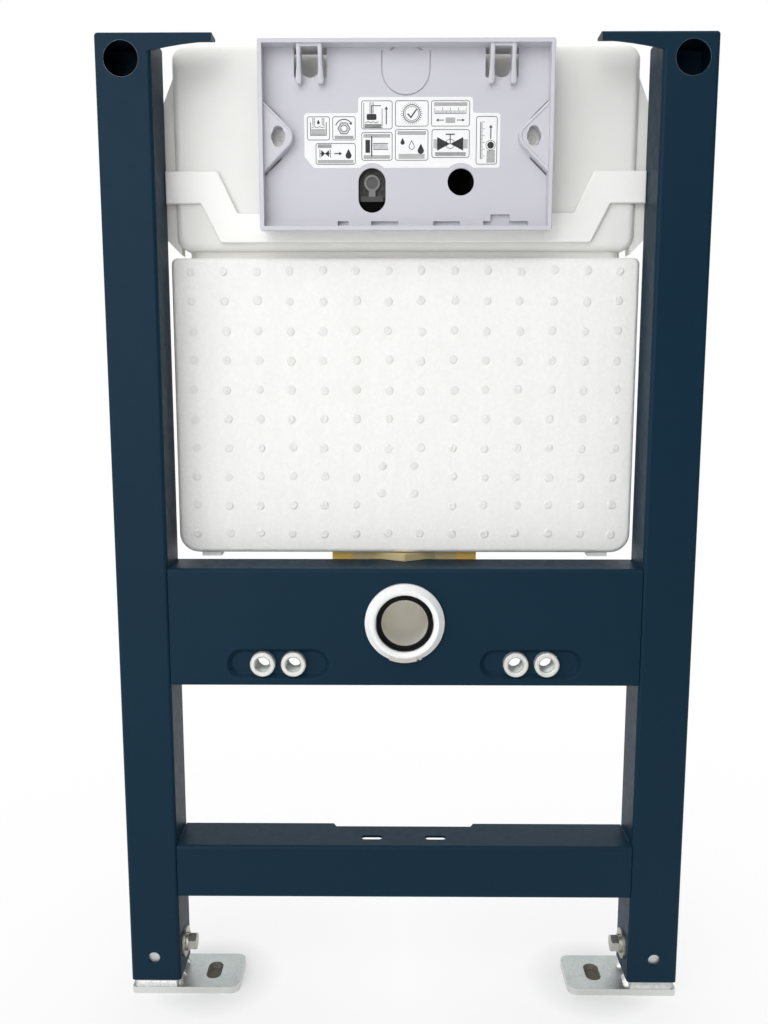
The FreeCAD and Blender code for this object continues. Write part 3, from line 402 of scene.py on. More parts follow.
for part in frame["record"]["subparts"]:
    solid = nodes[part["node"]]
    solid.data.materials.clear()
    solid.data.materials.append(looks[part["material_slot"]])
for side in ("left", "right"):
    for name, look_name in OWN_LOOKS.items():
        nodes[side + "_" + name].data.materials[0] = looks[look_name]
    lug = nodes[side + "_box_lug"]
    weld = lug.modifiers.new("joined", "WELD")
    weld.merge_threshold = 0.01 * MM
    soft = lug.modifiers.new("moulded_edge", "BEVEL")
    soft.width = 0.8 * MM
    soft.segments = 3
    soft.angle_limit = math.radians(50)


def middle(box):
    """Middle of a box across and in height."""
    return ((box[0].x + box[1].x) / 2, (box[0].z + box[1].z) / 2)


def at_depth(outline, y):
    """Outline of (x, z) points set at a depth."""
    return [(x, y, z) for x, z in outline]


def spun(section, centre, a):
    """Section of (radius, depth) points, turned by an angle about an axis along Y."""
    c, s = math.cos(a), math.sin(a)
    return [(centre[0] + r * c, y, centre[1] + r * s) for r, y in section]


class Mesh:
    """Gathers vertices and faces of one piece."""

    def __init__(self):
        self.verts = []
        self.faces = []

    def add(self, verts, faces):
        base = len(self.verts)
        self.verts += verts
        self.faces += [tuple(base + i for i in face) for face in faces]

    def loft(self, rings, closed=False):
        """Rings of equally many points joined into a skin, with flat ends or round into a loop."""
        count = len(rings[0])
        verts = [p for ring in rings for p in ring]
        last = len(rings) if closed else len(rings) - 1
        faces = []
        for a in range(last):
            b = (a + 1) % len(rings)
            for i in range(count):
                j = (i + 1) % count
                faces.append((a * count + i, a * count + j, b * count + j, b * count + i))
        if not closed:
            faces.append(tuple(range(count)))
            faces.append(tuple(range((len(rings) - 1) * count, len(rings) * count)))
        self.add(verts, faces)

    def slab(self, outline, front, back):
        """Upright plate from an outline of (x, z) points between two depths."""
        self.loft([at_depth(outline, front), at_depth(outline, back)])

    def turned(self, profile, centre, count):
        """Closed section of (radius, depth) points turned about an axis along Y."""
        self.loft([spun(profile, centre, 2 * math.pi * k / count) for k in range(count)], closed=True)

    def done(self, name, look, slot, body="frame", angle=40):
        """The finished piece, smooth up to an angle in degrees, that rides on a body."""
        mesh = bpy.data.meshes.new(name)
        mesh.from_pydata(self.verts, [], self.faces)
        work = bmesh.new()
        work.from_mesh(mesh)
        bmesh.ops.recalc_face_normals(work, faces=work.faces)
        work.to_mesh(mesh)
        work.free()
        mesh.shade_smooth()
        mesh.set_sharp_from_angle(angle=math.radians(angle))
        mesh.materials.append(looks[look])
        thing = bpy.data.objects.new(name, mesh)
        bpy.context.scene.collection.objects.link(thing)
        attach(thing, body)
        return thing


def foam_dot(mesh, x, z):
    """One button: a rough flat top of rings of points, with a steep edge sunk into the jacket."""
    rings, count = 5, 22
    flat_share, sunk_share = 0.85, -0.3
    front = FOAM[0].y
    radius = random.uniform(3.45, 3.95) * MM
    height = random.uniform(0.45, 0.8) * MM
    verts = [(x, front - height, z)]
    for ring in range(1, rings + 1):
        share = ring / rings
        for k in range(count):
            a = 2 * math.pi * (k + 0.5 * (ring % 2)) / count
            r = radius * (share + (random.uniform(-0.05, 0.05) if ring < rings else 0.0))
            lift = height * (1.0 if share < flat_share else sunk_share)
            if share < flat_share:
                lift += random.uniform(-0.22, 0.22) * MM
            verts.append((x + r * math.cos(a), front - lift, z + r * math.sin(a)))
    faces = [(0, 1 + k, 1 + (k + 1) % count) for k in range(count)]
    for ring in range(rings - 1):
        a, b = 1 + ring * count, 1 + (ring + 1) * count
        faces += [(a + k, b + k, b + (k + 1) % count, a + (k + 1) % count) for k in range(count)]
    mesh.add(verts, faces)


def foam_dots():
    """Grainy buttons moulded on the front of the foam jacket, a little out of line."""
    columns, rows = 14, 10
    pitch_x, pitch_z = 26.3 * MM, 23.6 * MM
    first_z = FOAM[1].z - 10.4 * MM
    moved_columns, moved_rows = (6, 7), (7, 8)
    mesh = Mesh()
    for row in range(rows):
        for column in range(columns):
            x = (column - (columns - 1) / 2) * pitch_x + random.uniform(-0.7, 0.7) * MM
            z = first_z - row * pitch_z + random.uniform(-0.8, 0.8) * MM
            if column in moved_columns and row in moved_rows:
                x -= 5.6 * MM
                z += 9.6 * MM
            foam_dot(mesh, x, z)
    mesh.done("foam_dots", "foam_dot", "foam", angle=70)


def arc(cx, cz, r, start, end, count):
    """Points on an arc between two angles in degrees."""
    angles = [math.radians(start + (end - start) * k / count) for k in range(count + 1)]
    return [(cx + r * math.cos(a), cz + r * math.sin(a)) for a in angles]


def on_panel(points):
    """Points in millimetres across the box and down from its top, as places on the panel."""
    return [(x * MM, BOX_TOP - drop * MM) for x, drop in points]


def rounded(points, radius, count=5):
    """Outline with each corner rounded; a corner may carry its own radius as a third value."""
    result = []
    for i, point in enumerate(points):
        here = Vector(point[:2])
        r = point[2] if len(point) > 2 else radius
        before = (Vector(points[i - 1][:2]) - here).normalized()
        after = (Vector(points[(i + 1) % len(points)][:2]) - here).normalized()
        if r <= 0:
            result.append(tuple(here))
            continue
        half = before.angle(after) / 2
        reach = r / math.tan(half)
        centre = here + (before + after).normalized() * (r / math.sin(half))
        start = here + before * reach - centre
        end = here + after * reach - centre
        turn = start.angle_signed(end)
        for k in range(count + 1):
            a = -turn * k / count
            c, s = math.cos(a), math.sin(a)
            result.append((centre.x + start.x * c - start.y * s, centre.y + start.x * s + start.y * c))
    return result


def oblong(x0, z0, x1, z1, radius):
    """Rectangle with rounded corners."""
    return rounded([(x0, z0), (x1, z0), (x1, z1), (x0, z1)], radius)


LABEL_THICK = 0.15 * MM
INK_THICK = 0.05 * MM


def label():
    """Paper sticker on the panel, cut round the slot and the port below it."""
    left, step_left, step_right, right = -77.9, -36.5, 51.2, 72.2
    top, step, foot = 38.7, 50.4, 90.6
    outline = [(left, step, 2.5), (step_left, step, 2.0), (step_left, top, 2.0), (step_right, top, 2.5),
               (step_right, step, 2.0), (right, step, 2.5), (right, foot, 2.0)]
    for x in (PORT_X, SLOT_X):
        bite = arc(x, OPENING_DROP, 14.0, 228.0, 312.0, 12)
        outline += [(x, z, 0.0) for x, z in reversed(bite)]
    outline += [(-70.6, foot, 2.0), (left, foot - 8.2, 2.5)]
    mesh = Mesh()
    mesh.slab(on_panel(rounded(outline, 2.0)), PANEL_Y - LABEL_THICK, PANEL_Y + 0.02 * MM)
    mesh.done("label", "label_paper", "box_plastic")


class Drawing:
    """Raised ink strokes and shapes on the label, in the panel's millimetres."""

    def __init__(self):
        self.mesh = Mesh()
        self.front = PANEL_Y - LABEL_THICK - INK_THICK
        self.back = PANEL_Y - LABEL_THICK

    def shape(self, points):
        self.mesh.slab(on_panel(points), self.front, self.back)

    def line(self, points, width=0.45, closed=False):
        """Stroke of even width along points, mitred at its corners."""
        spots = [Vector(p) for p in points]
        count = len(spots)
        left, right = [], []
        for i, spot in enumerate(spots):
            before = spots[i - 1] if closed or i > 0 else None
            after = spots[(i + 1) % count] if closed or i < count - 1 else None
            first = (spot - before).normalized() if before is not None else None
            second = (after - spot).normalized() if after is not None else None
            first, second = first or second, second or first
            way = (first + second).normalized()
            side = Vector((-way.y, way.x))
            spread = side.dot(Vector((-first.y, first.x)))
            offset = side * (width / 2 / max(spread, 0.35))
            left.append(spot + offset)
            right.append(spot - offset)
        last = count if closed else count - 1
        for i in range(last):
            j = (i + 1) % count
            self.shape([tuple(left[i]), tuple(left[j]), tuple(right[j]), tuple(right[i])])

    def ring(self, x, z, r, width, start=0.0, end=360.0):
        self.line(arc(x, z, r, start, end, 28), width)

    def disc(self, x, z, r):
        self.shape(arc(x, z, r, 0.0, 345.0, 23))

    def frame(self, x0, z0, x1, z1):
        self.line(oblong(x0, z0, x1, z1, 1.6), closed=True)

    def arrow(self, x0, z0, x1, z1, head=2.2, width=0.8):
        tip, tail = Vector((x1, z1)), Vector((x0, z0))
        way = (tip - tail).normalized()
        side = Vector((-way.y, way.x))
        neck = tip - way * head
        self.line([tail, neck], width)
        self.shape([tuple(tip), tuple(neck + side * head * 0.6), tuple(neck - side * head * 0.6)])

    def drop(self, x, z, r, filled=True):
        """Water drop with its point up."""
        points = [(x, z - 2.2 * r)] + arc(x, z, r, -28.0, 208.0, 16)
        if filled:
            self.shape(points)
        else:
            self.line(points, closed=True)

    def ripple(self, x, z, depth, width):
        """Surface of water."""
        self.line([(x + 2.0 * k, z - depth * (k % 2)) for k in range(6)], width)

    def hatch(self, x0, z0, x1, z1, count, width=0.32):
        """Level lines spread evenly between two heights."""
        for k in range(count):
            z = z0 + (z1 - z0) * k / (count - 1)
            self.line([(x0, z), (x1, z)], width)

    def ticks(self, x, z, r, reach, count):
        """Short strokes round a circle."""
        for k in range(count):
            a = 2 * math.pi * k / count
            c, s = math.cos(a), math.sin(a)
            self.line([(x + r * c, z + r * s), (x + (r + reach) * c, z + (r + reach) * s)], 0.3)

    def coil(self, x, z0, z1, half, count):
        """Threaded stem: slanting strokes between two upright edges."""
        width = 0.25
        self.line([(x - half, z0), (x - half, z1)], width)
        self.line([(x + half, z0), (x + half, z1)], width)
        for k in range(count):
            z = z0 + (z1 - z0) * k / count
            self.line([(x - half, z), (x + half, z + (z1 - z0) / count * 0.7)], width)

    def nut(self, x, z, r):
        self.line(arc(x, z, r, 0.0, 300.0, 5), 0.6, True)
        self.ring(x, z, r * 0.52, 0.5)


def label_marks():
    """Plain pictograms of levels, nuts, valves, drops and scales, in thin frames."""
    d = Drawing()
    # Left wing: a level in a basin, a nut that turns, and a valve that lets a drop through
    d.frame(-75.5, 53.0, -58.5, 70.0)
    d.line([(-73.0, 57.0), (-73.0, 66.5), (-61.0, 66.5), (-61.0, 57.0)], 0.55)
    d.ripple(-72.0, 61.0, 0.8, 0.4)
    d.hatch(-72.4, 62.2, -61.6, 65.8, 6)
    d.drop(-67.0, 57.4, 1.1)
    d.coil(-70.6, 53.8, 59.6, 0.8, 6)
    d.coil(-63.4, 53.8, 59.6, 0.8, 6)
    d.frame(-56.0, 53.0, -38.8, 70.0)
    d.nut(-47.4, 61.5, 4.6)
    d.ticks(-47.4, 61.5, 2.6, 1.2, 20)
    d.hatch(-54.6, 67.2, -40.2, 69.0, 4)
    d.ring(-47.4, 61.5, 6.6, 0.7, 200.0, 320.0)
    d.arrow(-42.6, 57.0, -41.6, 59.2, 2.0, 0.7)
    d.frame(-69.0, 72.5, -38.8, 88.0)
    d.line([(-66.0, 80.0), (-58.0, 80.0)], 0.5)
    d.line([(-66.0, 77.0), (-66.0, 83.0)], 0.5)
    d.line([(-58.0, 77.0), (-58.0, 83.0)], 0.5)
    d.shape([(-65.0, 77.4), (-62.0, 80.0), (-65.0, 82.6)])
    d.shape([(-59.0, 77.4), (-62.0, 80.0), (-59.0, 82.6)])
    d.hatch(-67.6, 85.0, -40.2, 87.0, 4)
    d.hatch(-67.6, 73.4, -57.0, 75.6, 5)
    d.arrow(-55.0, 80.0, -49.0, 80.0)
    d.drop(-44.0, 81.5, 2.3)
    # Middle: a float that rises, a bolt and washer, a tick in a ring, three drops and a ruler
    d.frame(-33.8, 41.5, -10.5, 62.0)
    d.ripple(-31.0, 57.5, 0.9, 0.45)
    d.shape(oblong(-30.0, 51.0, -22.5, 55.4, 1.0))
    d.line([(-26.2, 51.0), (-26.2, 45.0), (-19.0, 45.0)], 0.6)
    d.hatch(-31.6, 58.6, -18.8, 61.0, 6)
    d.line([(-32.2, 43.0), (-32.2, 61.2), (-18.2, 61.2), (-18.2, 47.0)], 0.4)
    d.coil(-26.2, 42.6, 50.6, 1.4, 9)
    d.arrow(-15.0, 58.5, -15.0, 45.5)
    d.frame(-33.8, 64.5, -10.5, 85.0)
    d.shape([(-31.0, 70.0), (-27.5, 70.0), (-27.5, 79.5), (-31.0, 79.5)])
    d.line([(-26.2, 67.5), (-26.2, 82.0)], 0.9)
    for k in range(13):
        d.line([(-25.2 + 0.88 * k, 72.6), (-24.6 + 0.88 * k, 77.0)], 0.3)
    d.hatch(-32.4, 66.0, -12.0, 68.0, 4)
    d.hatch(-32.4, 81.6, -12.0, 83.6, 4)
    d.line([(-25.0, 72.6), (-13.5, 72.6)])
    d.line([(-25.0, 77.0), (-13.5, 77.0)])
    d.frame(-8.0, 41.5, 17.0, 60.0)
    d.ring(4.5, 50.7, 6.4, 0.6)
    d.ticks(4.5, 50.7, 6.9, 1.3, 30)
    d.ring(4.5, 50.7, 5.2, 0.35)
    d.line([(1.2, 50.8), (3.8, 53.6), (8.2, 47.6)], 1.0)
    d.frame(-8.0, 62.5, 17.0, 85.0)
    for k in range(3):
        d.drop(-2.5 + 7.0 * k, 72.0 + 3.0 * k, 1.6 + 0.4 * k, k != 1)
    d.hatch(-5.5, 80.6, 14.5, 83.6, 6, 0.26)
    d.hatch(-6.4, 64.0, 15.4, 66.0, 4)
    d.frame(19.5, 41.5, 48.6, 60.0)
    d.line([(22.0, 50.7), (46.0, 50.7)])
    for k in range(25):
        tall = 4.2 if k % 6 == 0 else 2.2
        d.line([(22.0 + 1.0 * k, 50.7), (22.0 + 1.0 * k, 50.7 - tall)], 0.3)
    d.hatch(21.4, 43.0, 46.8, 45.0, 4)
    d.hatch(30.4, 54.0, 37.6, 57.4, 6)
    d.arrow(29.0, 55.6, 23.0, 55.6, 2.0, 0.6)
    d.arrow(39.0, 55.6, 45.0, 55.6, 2.0, 0.6)
    # Right: a stop valve, and a float on a scale
    d.frame(20.0, 62.5, 48.6, 83.0)
    d.shape([(24.0, 68.0), (34.0, 73.0), (24.0, 78.0)])
    d.shape([(44.0, 68.0), (34.0, 73.0), (44.0, 78.0)])
    d.line([(34.0, 73.0), (34.0, 66.4)], 0.7)
    d.line([(30.5, 66.0), (37.5, 66.0)], 0.9)
    d.hatch(21.2, 70.0, 24.0, 76.0, 9)
    d.hatch(44.0, 70.0, 47.4, 76.0, 9)
    d.hatch(22.6, 79.4, 46.0, 81.6, 5)
    d.ring(34.0, 73.0, 3.4, 0.4)
    d.frame(54.0, 53.0, 69.8, 88.0)
    d.line([(57.2, 57.0), (57.2, 84.0)], 0.5)
    for k in range(28):
        d.line([(57.2, 57.0 + k), (57.2 + (3.4 if k % 5 == 0 else 1.8), 57.0 + k)], 0.28)
    d.hatch(62.0, 78.0, 68.4, 86.6, 14)
    d.ring(65.0, 74.0, 3.6, 0.35)
    d.disc(65.0, 74.0, 2.6)
    d.arrow(65.0, 69.5, 65.0, 59.0)
    d.mesh.done("label_marks", "label_ink", "box_plastic")


def seal_lip():
    """Rubber ring with two lips inside the collar."""
    front, back = SEAL[0].y, SEAL[1].y
    outer = (SEAL[1].x - SEAL[0].x) / 2 - 0.05 * MM
    # Millimetres in from the outside and back from the front, over the two lips
    lips = ((0.0, 0.5), (0.3, 0.0), (0.9, -0.25), (1.5, 0.0), (1.8, 0.8), (2.2, 1.3),
            (2.7, 1.1), (3.3, 1.2), (3.9, 1.7), (4.2, 2.4), (4.0, 2.9), (3.1, 3.2))
    profile = [(outer, back)]
    profile += [(outer - inset * MM, front + deep * MM) for inset, deep in lips]
    profile.append((outer - 2.95 * MM, back))
    mesh = Mesh()
    mesh.turned(profile, middle(SEAL), 96)
    thing = mesh.done("seal_lip", "seal_rubber", "seal_rubber", angle=50)
    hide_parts("flush_seal")


def collar_tab():
    """Flat catch at the foot of the collar's rim, with a notch near one end, in a darker copy of the
    collar's plastic that paints its shade.
    """
    radius = (COLLAR[1].x - COLLAR[0].x) / 2
    inner, outer = radius - 4.2 * MM, radius - 0.05 * MM
    front, back = COLLAR[0].y + 0.9 * MM, COLLAR[0].y + 6.5 * MM
    chamfer = 0.5 * MM
    section = [(inner, front), (outer - chamfer, front), (outer, front + chamfer), (outer, back),
               (inner, back)]
    steps = 12
    mesh = Mesh()
    for start, end in ((247.0, 288.5), (292.0, 296.0)):
        angles = [math.radians(start + (end - start) * k / steps) for k in range(steps + 1)]
        mesh.loft([spun(section, middle(COLLAR), a) for a in angles])
    mesh.done("collar_tab", "tab_painted_shade", "collar_plastic")


def sleeve_threads():
    """Thread ridges in the bores of the pan fixing sleeves."""
    pitch, per_turn = 1.75 * MM, 32
    root, height = 6.27 * MM, 0.62 * MM
    half_root, half_crest = 0.62 * MM, 0.14 * MM
    mesh = Mesh()
    for name in ("left_outer", "left_inner", "right_inner", "right_outer"):
        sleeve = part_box(name + "_sleeve")
        start, end = sleeve[0].y + 2.0 * MM, sleeve[1].y - 1.0 * MM
        turns = (end - start) / pitch
        rings = []
        for k in range(int(turns * per_turn) + 1):
            y = start + pitch * k / per_turn
            section = [(root, y - half_root), (root - height, y - half_crest),
                       (root - height, y + half_crest), (root, y + half_root)]
            rings.append(spun(section, middle(sleeve), 2 * math.pi * k / per_turn))
        mesh.loft(rings)
    mesh.done("sleeve_threads", "zinc", "sleeve_zinc", angle=30)


def bead(mesh, start, end, size, side, up, step=1.6):
    """Weld bead of overlapping ripples along an inner corner between two directions."""
    way = end - start
    pitch, run_out = step * MM, 6 * MM
    side_sink, up_sink = side * 0.2 * MM, up * 0.2 * MM
    count = max(4, int(way.length / (pitch / 2)))
    bends = 6
    rings = []
    for k in range(count + 1):
        share = k / count
        ripple = 0.86 + 0.14 * math.cos(2 * math.pi * share * way.length / pitch)
        ripple += random.uniform(-0.05, 0.05)
        taper = min(1.0, 0.35 + 4.0 * min(share, 1 - share) * way.length / run_out)
        r = size * ripple * taper
        here = start + way * share
        ring = [here - side_sink - up_sink]
        for j in range(bends + 1):
            a = math.pi / 2 * j / bends
            bulge = 1.0 - 0.18 * math.sin(2 * a)
            ring.append(here + (side * math.cos(a) + up * math.sin(a)) * r * bulge)
        ring[1] -= up_sink
        ring[-1] -= side_sink
        rings.append([tuple(p) for p in ring])
    mesh.loft(rings)


def bar_welds():
    """Painted weld beads where the flanges and the back of the crossbars meet the posts."""
    mesh = Mesh()
    for sign in (-1, 1):
        inward = Vector((-sign, 0, 0))
        x = sign * UPPER[1].x
        for low, high in (UPPER, LOWER):
            y0, y1 = low.y + 9 * MM, high.y - 4 * MM
            for z, up in ((high.z, UP), (low.z, -UP)):
                bead(mesh, Vector((x, y0, z)), Vector((x, y1, z)), 1.7 * MM, inward, up)
            y, gap = low.y + 2 * MM, 8 * MM
            top, foot = Vector((x, y, high.z - gap)), Vector((x, y, low.z + gap))
            bead(mesh, top, foot, 1.6 * MM, inward, BACK)
    mesh.done("bar_welds", "frame_coating", "frame_coating", angle=60)


def foot_welds(side):
    """Bright weld beads round the foot of a leg, on its plate."""
    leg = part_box(side + "_leg")
    sign = -1 if side == "left" else 1
    outer_x, inner_x = (leg[0].x, leg[1].x) if sign < 0 else (leg[1].x, leg[0].x)
    front, back = leg[0].y, leg[1].y
    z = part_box(side + "_foot_plate")[1].z
    mesh = Mesh()

    def across(y, inset):
        """Ends of a weld across the leg, set in from its corners."""
        return Vector((outer_x - sign * inset, y, z)), Vector((inner_x + sign * inset, y, z))

    bead(mesh, *across(front, 0.6 * MM), 1.3 * MM, -BACK, UP * 4.4, 2.3)
    bead(mesh, *across(back, 3 * MM), 2.2 * MM, BACK, UP)
    for start, end in ((1.5, 17.0), (28.0, 36.8)):
        bead(mesh, Vector((inner_x, front + start * MM, z)), Vector((inner_x, front + end * MM, z)),
             3.9 * MM, Vector((-sign, 0, 0)), UP)
    mesh.done(side + "_foot_welds", "weld_metal", "zinc", side + "_foot", 60)


def hole_rims():
    """Bare cut edge round the large holes in the fronts of the posts."""
    radius, hole_x, hole_z = 13.0 * MM, 212.2 * MM, POST[1].z - 18.7 * MM
    # Millimetres out from the hole's edge and back from the post's front
    edge = ((0.2, 0.05), (0.1, -0.04), (0.0, -0.02), (-0.1, 0.2), (-0.04, 0.5), (0.15, 0.4))
    profile = [(radius + out * MM, FRONT_Y + deep * MM) for out, deep in edge]
    mesh = Mesh()
    for sign in (-1, 1):
        mesh.turned(profile, (sign * hole_x, hole_z), 72)
    mesh.done("hole_rims", "cut_edge", "frame_coating", angle=80)


def painted_shade_tray():
    """Near-black open tray in the service neck, behind the slot and the port: painted shade that stands
    for the dark inside of the neck.
    """
    mouth, back = PANEL_Y + 7.4 * MM, PANEL_Y + 26.0 * MM
    half, wall = 51.5 * MM, 1.2 * MM
    low, high = BOX_TOP - 116.0 * MM, BOX_TOP - 37.2 * MM
    outer = oblong(-half, low, half, high, 2.0 * MM)
    inner = oblong(-half + wall, low + wall, half - wall, high - wall, 1.2 * MM)
    mesh = Mesh()
    mesh.loft([at_depth(outer, back), at_depth(outer, mouth), at_depth(inner, mouth),
               at_depth(inner, back - wall)])
    mesh.done("painted_shade_tray", "near_black_and_painted_shade", "seal_rubber")


def lever_block():
    """Dark block of the flush valve behind the lever, on the back of the tray."""
    x, half = middle(LEVER)[0], 10.9 * MM
    low, high = LEVER[0].z + 0.4 * MM, BOX_TOP - 88.0 * MM
    front, back = LEVER[1].y + 0.3 * MM, PANEL_Y + 24.9 * MM
    mesh = Mesh()
    mesh.slab(oblong(x - half, low, x + half, high, 1.2 * MM), front, back)
    mesh.done("lever_block", "block_plastic", "lever_plastic")


def neck_gasket():
    """Black gasket between the panel and the mouth of the service neck."""
    front, back = PANEL_Y + 2.54 * MM, PANEL_Y + 2.78 * MM
    outer = on_panel(oblong(-61.0, 31.0, 61.0, 126.0, 3.0))
    inner = on_panel(oblong(-50.4, 37.5, 50.4, 115.4, 3.0))
    mesh = Mesh()
    mesh.loft([at_depth(outer, front), at_depth(outer, back), at_depth(inner, back),
               at_depth(inner, front)], closed=True)
    mesh.done("neck_gasket", "near_black_and_painted_shade", "seal_rubber")


def lug_bosses():
    """Screw bosses of the tank behind the holes in the lugs of the box."""
    front = PANEL_Y + 3.0 * MM
    tank_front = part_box("tank_strap")[0].y + 4.2 * MM
    # Millimetres of radius and back from the front, from the hole's floor over the rim
    rim = ((0.4, 2.5), (3.0, 2.5), (3.4, 0.5), (3.9, 0.0), (9.2, 0.0), (9.6, 0.4))
    profile = [(r * MM, front + deep * MM) for r, deep in rim]
    profile += [(10.2 * MM, tank_front), (0.4 * MM, tank_front)]
    mesh = Mesh()
    for sign in (-1, 1):
        mesh.turned(profile, (sign * LUG_HOLE_X * MM, BOX_TOP - LUG_HOLE_DROP * MM), 48)
    mesh.done("lug_bosses", "tank_plastic", "tank_plastic")


def clip_edges():
    """Moulded front edges of the clip fins, waisted and with a rounded foot."""
    front, ceiling = BOX[0].y + 2.0 * MM, BOX_TOP - 3.2 * MM
    # Millimetres down from the box's ceiling, back from the front, and half the fin's width
    path = ((0.0, 0.0, 1.75), (3.5, 0.0, 1.65), (7.0, 0.0, 1.5), (10.5, 0.9, 1.45), (14.5, 1.9, 1.5),
            (18.0, 2.7, 1.75), (21.5, 3.6, 2.1), (24.5, 4.3, 2.3), (26.3, 4.75, 2.0), (27.3, 5.0, 1.2))
    fin, splay, length = 8.0, 0.5, 27.0
    bulge, root, steps = 0.55, 1.4 * MM, 12
    mesh = Mesh()
    for clip in ("left_box_clip", "right_box_clip"):
        clip_x = middle(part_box(clip))[0]
        for sign in (-1.0, 1.0):
            rings = []
            for drop, back, half in path:
                x = clip_x + sign * (fin + splay * (drop / length) ** 2) * MM
                y, z = front + back * MM, ceiling - drop * MM
                ring = []
                for k in range(steps + 1):
                    a = math.pi * k / steps
                    ring.append((x - half * math.cos(a) * MM, y - bulge * math.sin(a) * MM, z))
                ring += [(x + half * MM, y + root, z), (x - half * MM, y + root, z)]
                rings.append(ring)
            mesh.loft(rings)
    mesh.done("clip_edges", "box_plastic", "box_plastic", angle=50)


def lug_rims():
    """Rounded lips along the free edges of the lugs of the box."""
    front = PANEL_Y - 8.0 * MM
    half, rise, root, steps = 1.05, 0.8, 0.4, 8
    angles = [math.pi * k / steps for k in range(steps + 1)]
    section = [(math.cos(a), -rise * math.sin(a)) for a in angles] + [(-1.0, root), (1.0, root)]
    path = rounded([(108.6, 44.4, 0.0), (83.2, LUG_HOLE_DROP, 8.8), (108.6, 93.6, 0.0)], 0.0, 16)
    mesh = Mesh()
    for sign in (-1, 1):
        rings = []
        for i, spot in enumerate(path):
            way = Vector(path[min(i + 1, len(path) - 1)]) - Vector(path[max(i - 1, 0)])
            side = Vector((-way.y, way.x)).normalized() * half
            rings.append([(sign * (spot[0] + side.x * across) * MM, front + deep * MM,
                           BOX_TOP - (spot[1] + side.y * across) * MM) for across, deep in section])
        mesh.loft(rings)
    mesh.done("lug_rims", "box_plastic", "box_plastic", angle=60)


def panel_backing():
    """Pale rib of the box behind the gaps at the foot of the panel."""
    outline = on_panel(oblong(-60.0, 123.6, 100.0, 134.6, 1.0))
    mesh = Mesh()
    mesh.slab(outline, PANEL_Y + 2.9 * MM, PANEL_Y + 4.4 * MM)
    mesh.done("panel_backing", "box_plastic", "box_plastic")


neck_gasket()
lug_bosses()
panel_backing()
clip_edges()
lug_rims()
foam_dots()
label()
label_marks()
seal_lip()
collar_tab()
sleeve_threads()
bar_welds()
foot_welds("left")
foot_welds("right")
hole_rims()
painted_shade_tray()
lever_block()


def stage_piece(name, verts, faces, look):
    mesh = bpy.data.meshes.new(name)
    mesh.from_pydata(verts, [], faces)
    mesh.materials.append(look.material)
    thing = bpy.data.objects.new(name, mesh)
    bpy.context.scene.collection.objects.link(thing)
    return thing


def stage_floor():
    """Pale floor in halves, one under each foot. It keeps the shadow near the feet, carries painted
    shade under their slots and turns white further out."""
    look = Look("floor", Roughness=0.9, Specular_IOR_Level=0.1)
    tone = look.mottled((3.0, 2.0), (0.87, 0.87, 0.87), (0.89, 0.89, 0.89))
    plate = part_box("right_foot_plate")
    row = (0.0, (plate[0].y + plate[1].y) / 2, 0.0)
    slot = (165.5 * MM, 0.0, 0.0)
    aside = look.vector("ABSOLUTE", "Vector", look.vector("SUBTRACT", "Vector", look.place, row))
    far = look.vector("DISTANCE", "Value", aside, slot)
    # painted shade: a dark floor colour in a small disc under the slot of each foot
    slot_painted_shade = look.step(far, 0.017, 0.014)
    look.drive("Base Color", look.mixed(slot_painted_shade, tone, (0.13, 0.115, 0.10)))
    stops = [(0.0, 0.0), (0.08, 0.78), (0.4, 0.93), (1.0, 1.0)]
    share = look.maths("MULTIPLY", look.ramp(look.step(far, 0.012, 0.6), stops), look.seen())
    white = look.add("ShaderNodeEmission", {"Color": (1, 1, 1, 1), "Strength": 1.0})
    both = look.add("ShaderNodeMixShader", {0: share, 1: look.shader.outputs[0], 2: white.outputs[0]})
    look.tree.links.new(both.outputs[0], look.tree.nodes["Material Output"].inputs["Surface"])
    reach = 12.0
    for side, x0, x1 in (("left", -reach, 0.0), ("right", 0.0, reach)):
        corners = [(x0, -reach, 0), (x1, -reach, 0), (x1, reach, 0), (x0, reach, 0)]
        floor = stage_piece(side + "_floor", corners, [(0, 1, 2, 3)], look)
        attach(floor, side + "_foot")


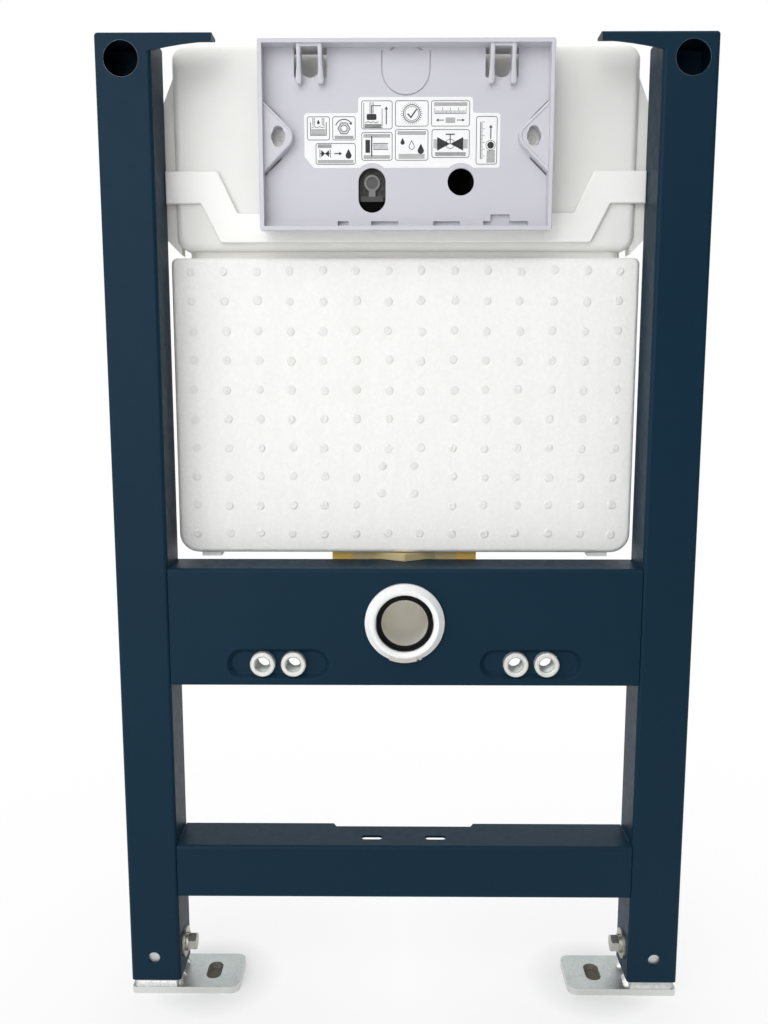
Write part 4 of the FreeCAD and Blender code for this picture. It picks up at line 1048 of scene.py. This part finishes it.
def studio():
    """Soft light from the upper left and the front, a dim side to the right, and a white surround."""
    world = bpy.data.worlds.new("surround")
    world.use_nodes = True
    bpy.context.scene.world = world
    surround = Nodes(world.node_tree)
    back = world.node_tree.nodes["Background"]
    back.inputs["Color"].default_value = (1, 1, 1, 1)
    sockets = {"Value": surround.seen(use_clamp=True), "To Min": 0.70, "To Max": 1.0}
    level = surround.add("ShaderNodeMapRange", sockets)
    surround.fill(back.inputs["Strength"], level.outputs["Result"])
    target = Vector((0.0, 0.0, 0.42))
    lamps = (("key", (-1.05, -2.35, 1.0), 3.0, 41.0), ("front", (0.1, -2.2, 1.9), 2.2, 16.0),
             ("top", (0.0, 0.2, 2.4), 1.6, 3.0), ("rear", (0.2, 1.4, 2.7), 1.4, 10.0))
    for name, spot, size, power in lamps:
        lamp = bpy.data.lights.new(name, "AREA")
        lamp.size = size
        lamp.energy = power
        thing = bpy.data.objects.new(name, lamp)
        thing.location = spot
        thing.rotation_euler = (target - Vector(spot)).to_track_quat("-Z", "Y").to_euler()
        bpy.context.scene.collection.objects.link(thing)
    look = Look("dim_side", Roughness=0.95, Specular_IOR_Level=0.0)
    look.drive("Base Color", look.mottled((2.0, 2.0), (0.05, 0.05, 0.055), (0.07, 0.07, 0.075)))
    plan = ((-0.1, -2.7), (3.0, -2.7), (3.0, 0.0))
    verts = [(x, y, z) for x, y in plan for z in (-0.2, 3.0)]
    card = stage_piece("dim_side", verts, [(0, 2, 3, 1), (2, 4, 5, 3)], look)
    card.visible_camera = False


def camera():
    """Camera at the height and slight downward tilt of the photograph."""
    lens = bpy.data.cameras.new("camera")
    lens.sensor_width = 36.0
    lens.lens = 33.93
    view = bpy.data.objects.new("camera", lens)
    spot = (-0.0104, -0.81715, 0.528)
    pitch, yaw = math.radians(8.34), math.radians(-0.47)
    level = math.cos(pitch)
    forward = Vector((math.sin(yaw) * level, math.cos(yaw) * level, -math.sin(pitch)))
    view.matrix_world = Matrix.Translation(spot) @ forward.to_track_quat("-Z", "Y").to_matrix().to_4x4()
    bpy.context.scene.collection.objects.link(view)
    bpy.context.scene.camera = view


stage_floor()
studio()
camera()
bpy.context.scene.view_settings.view_transform = "Standard"
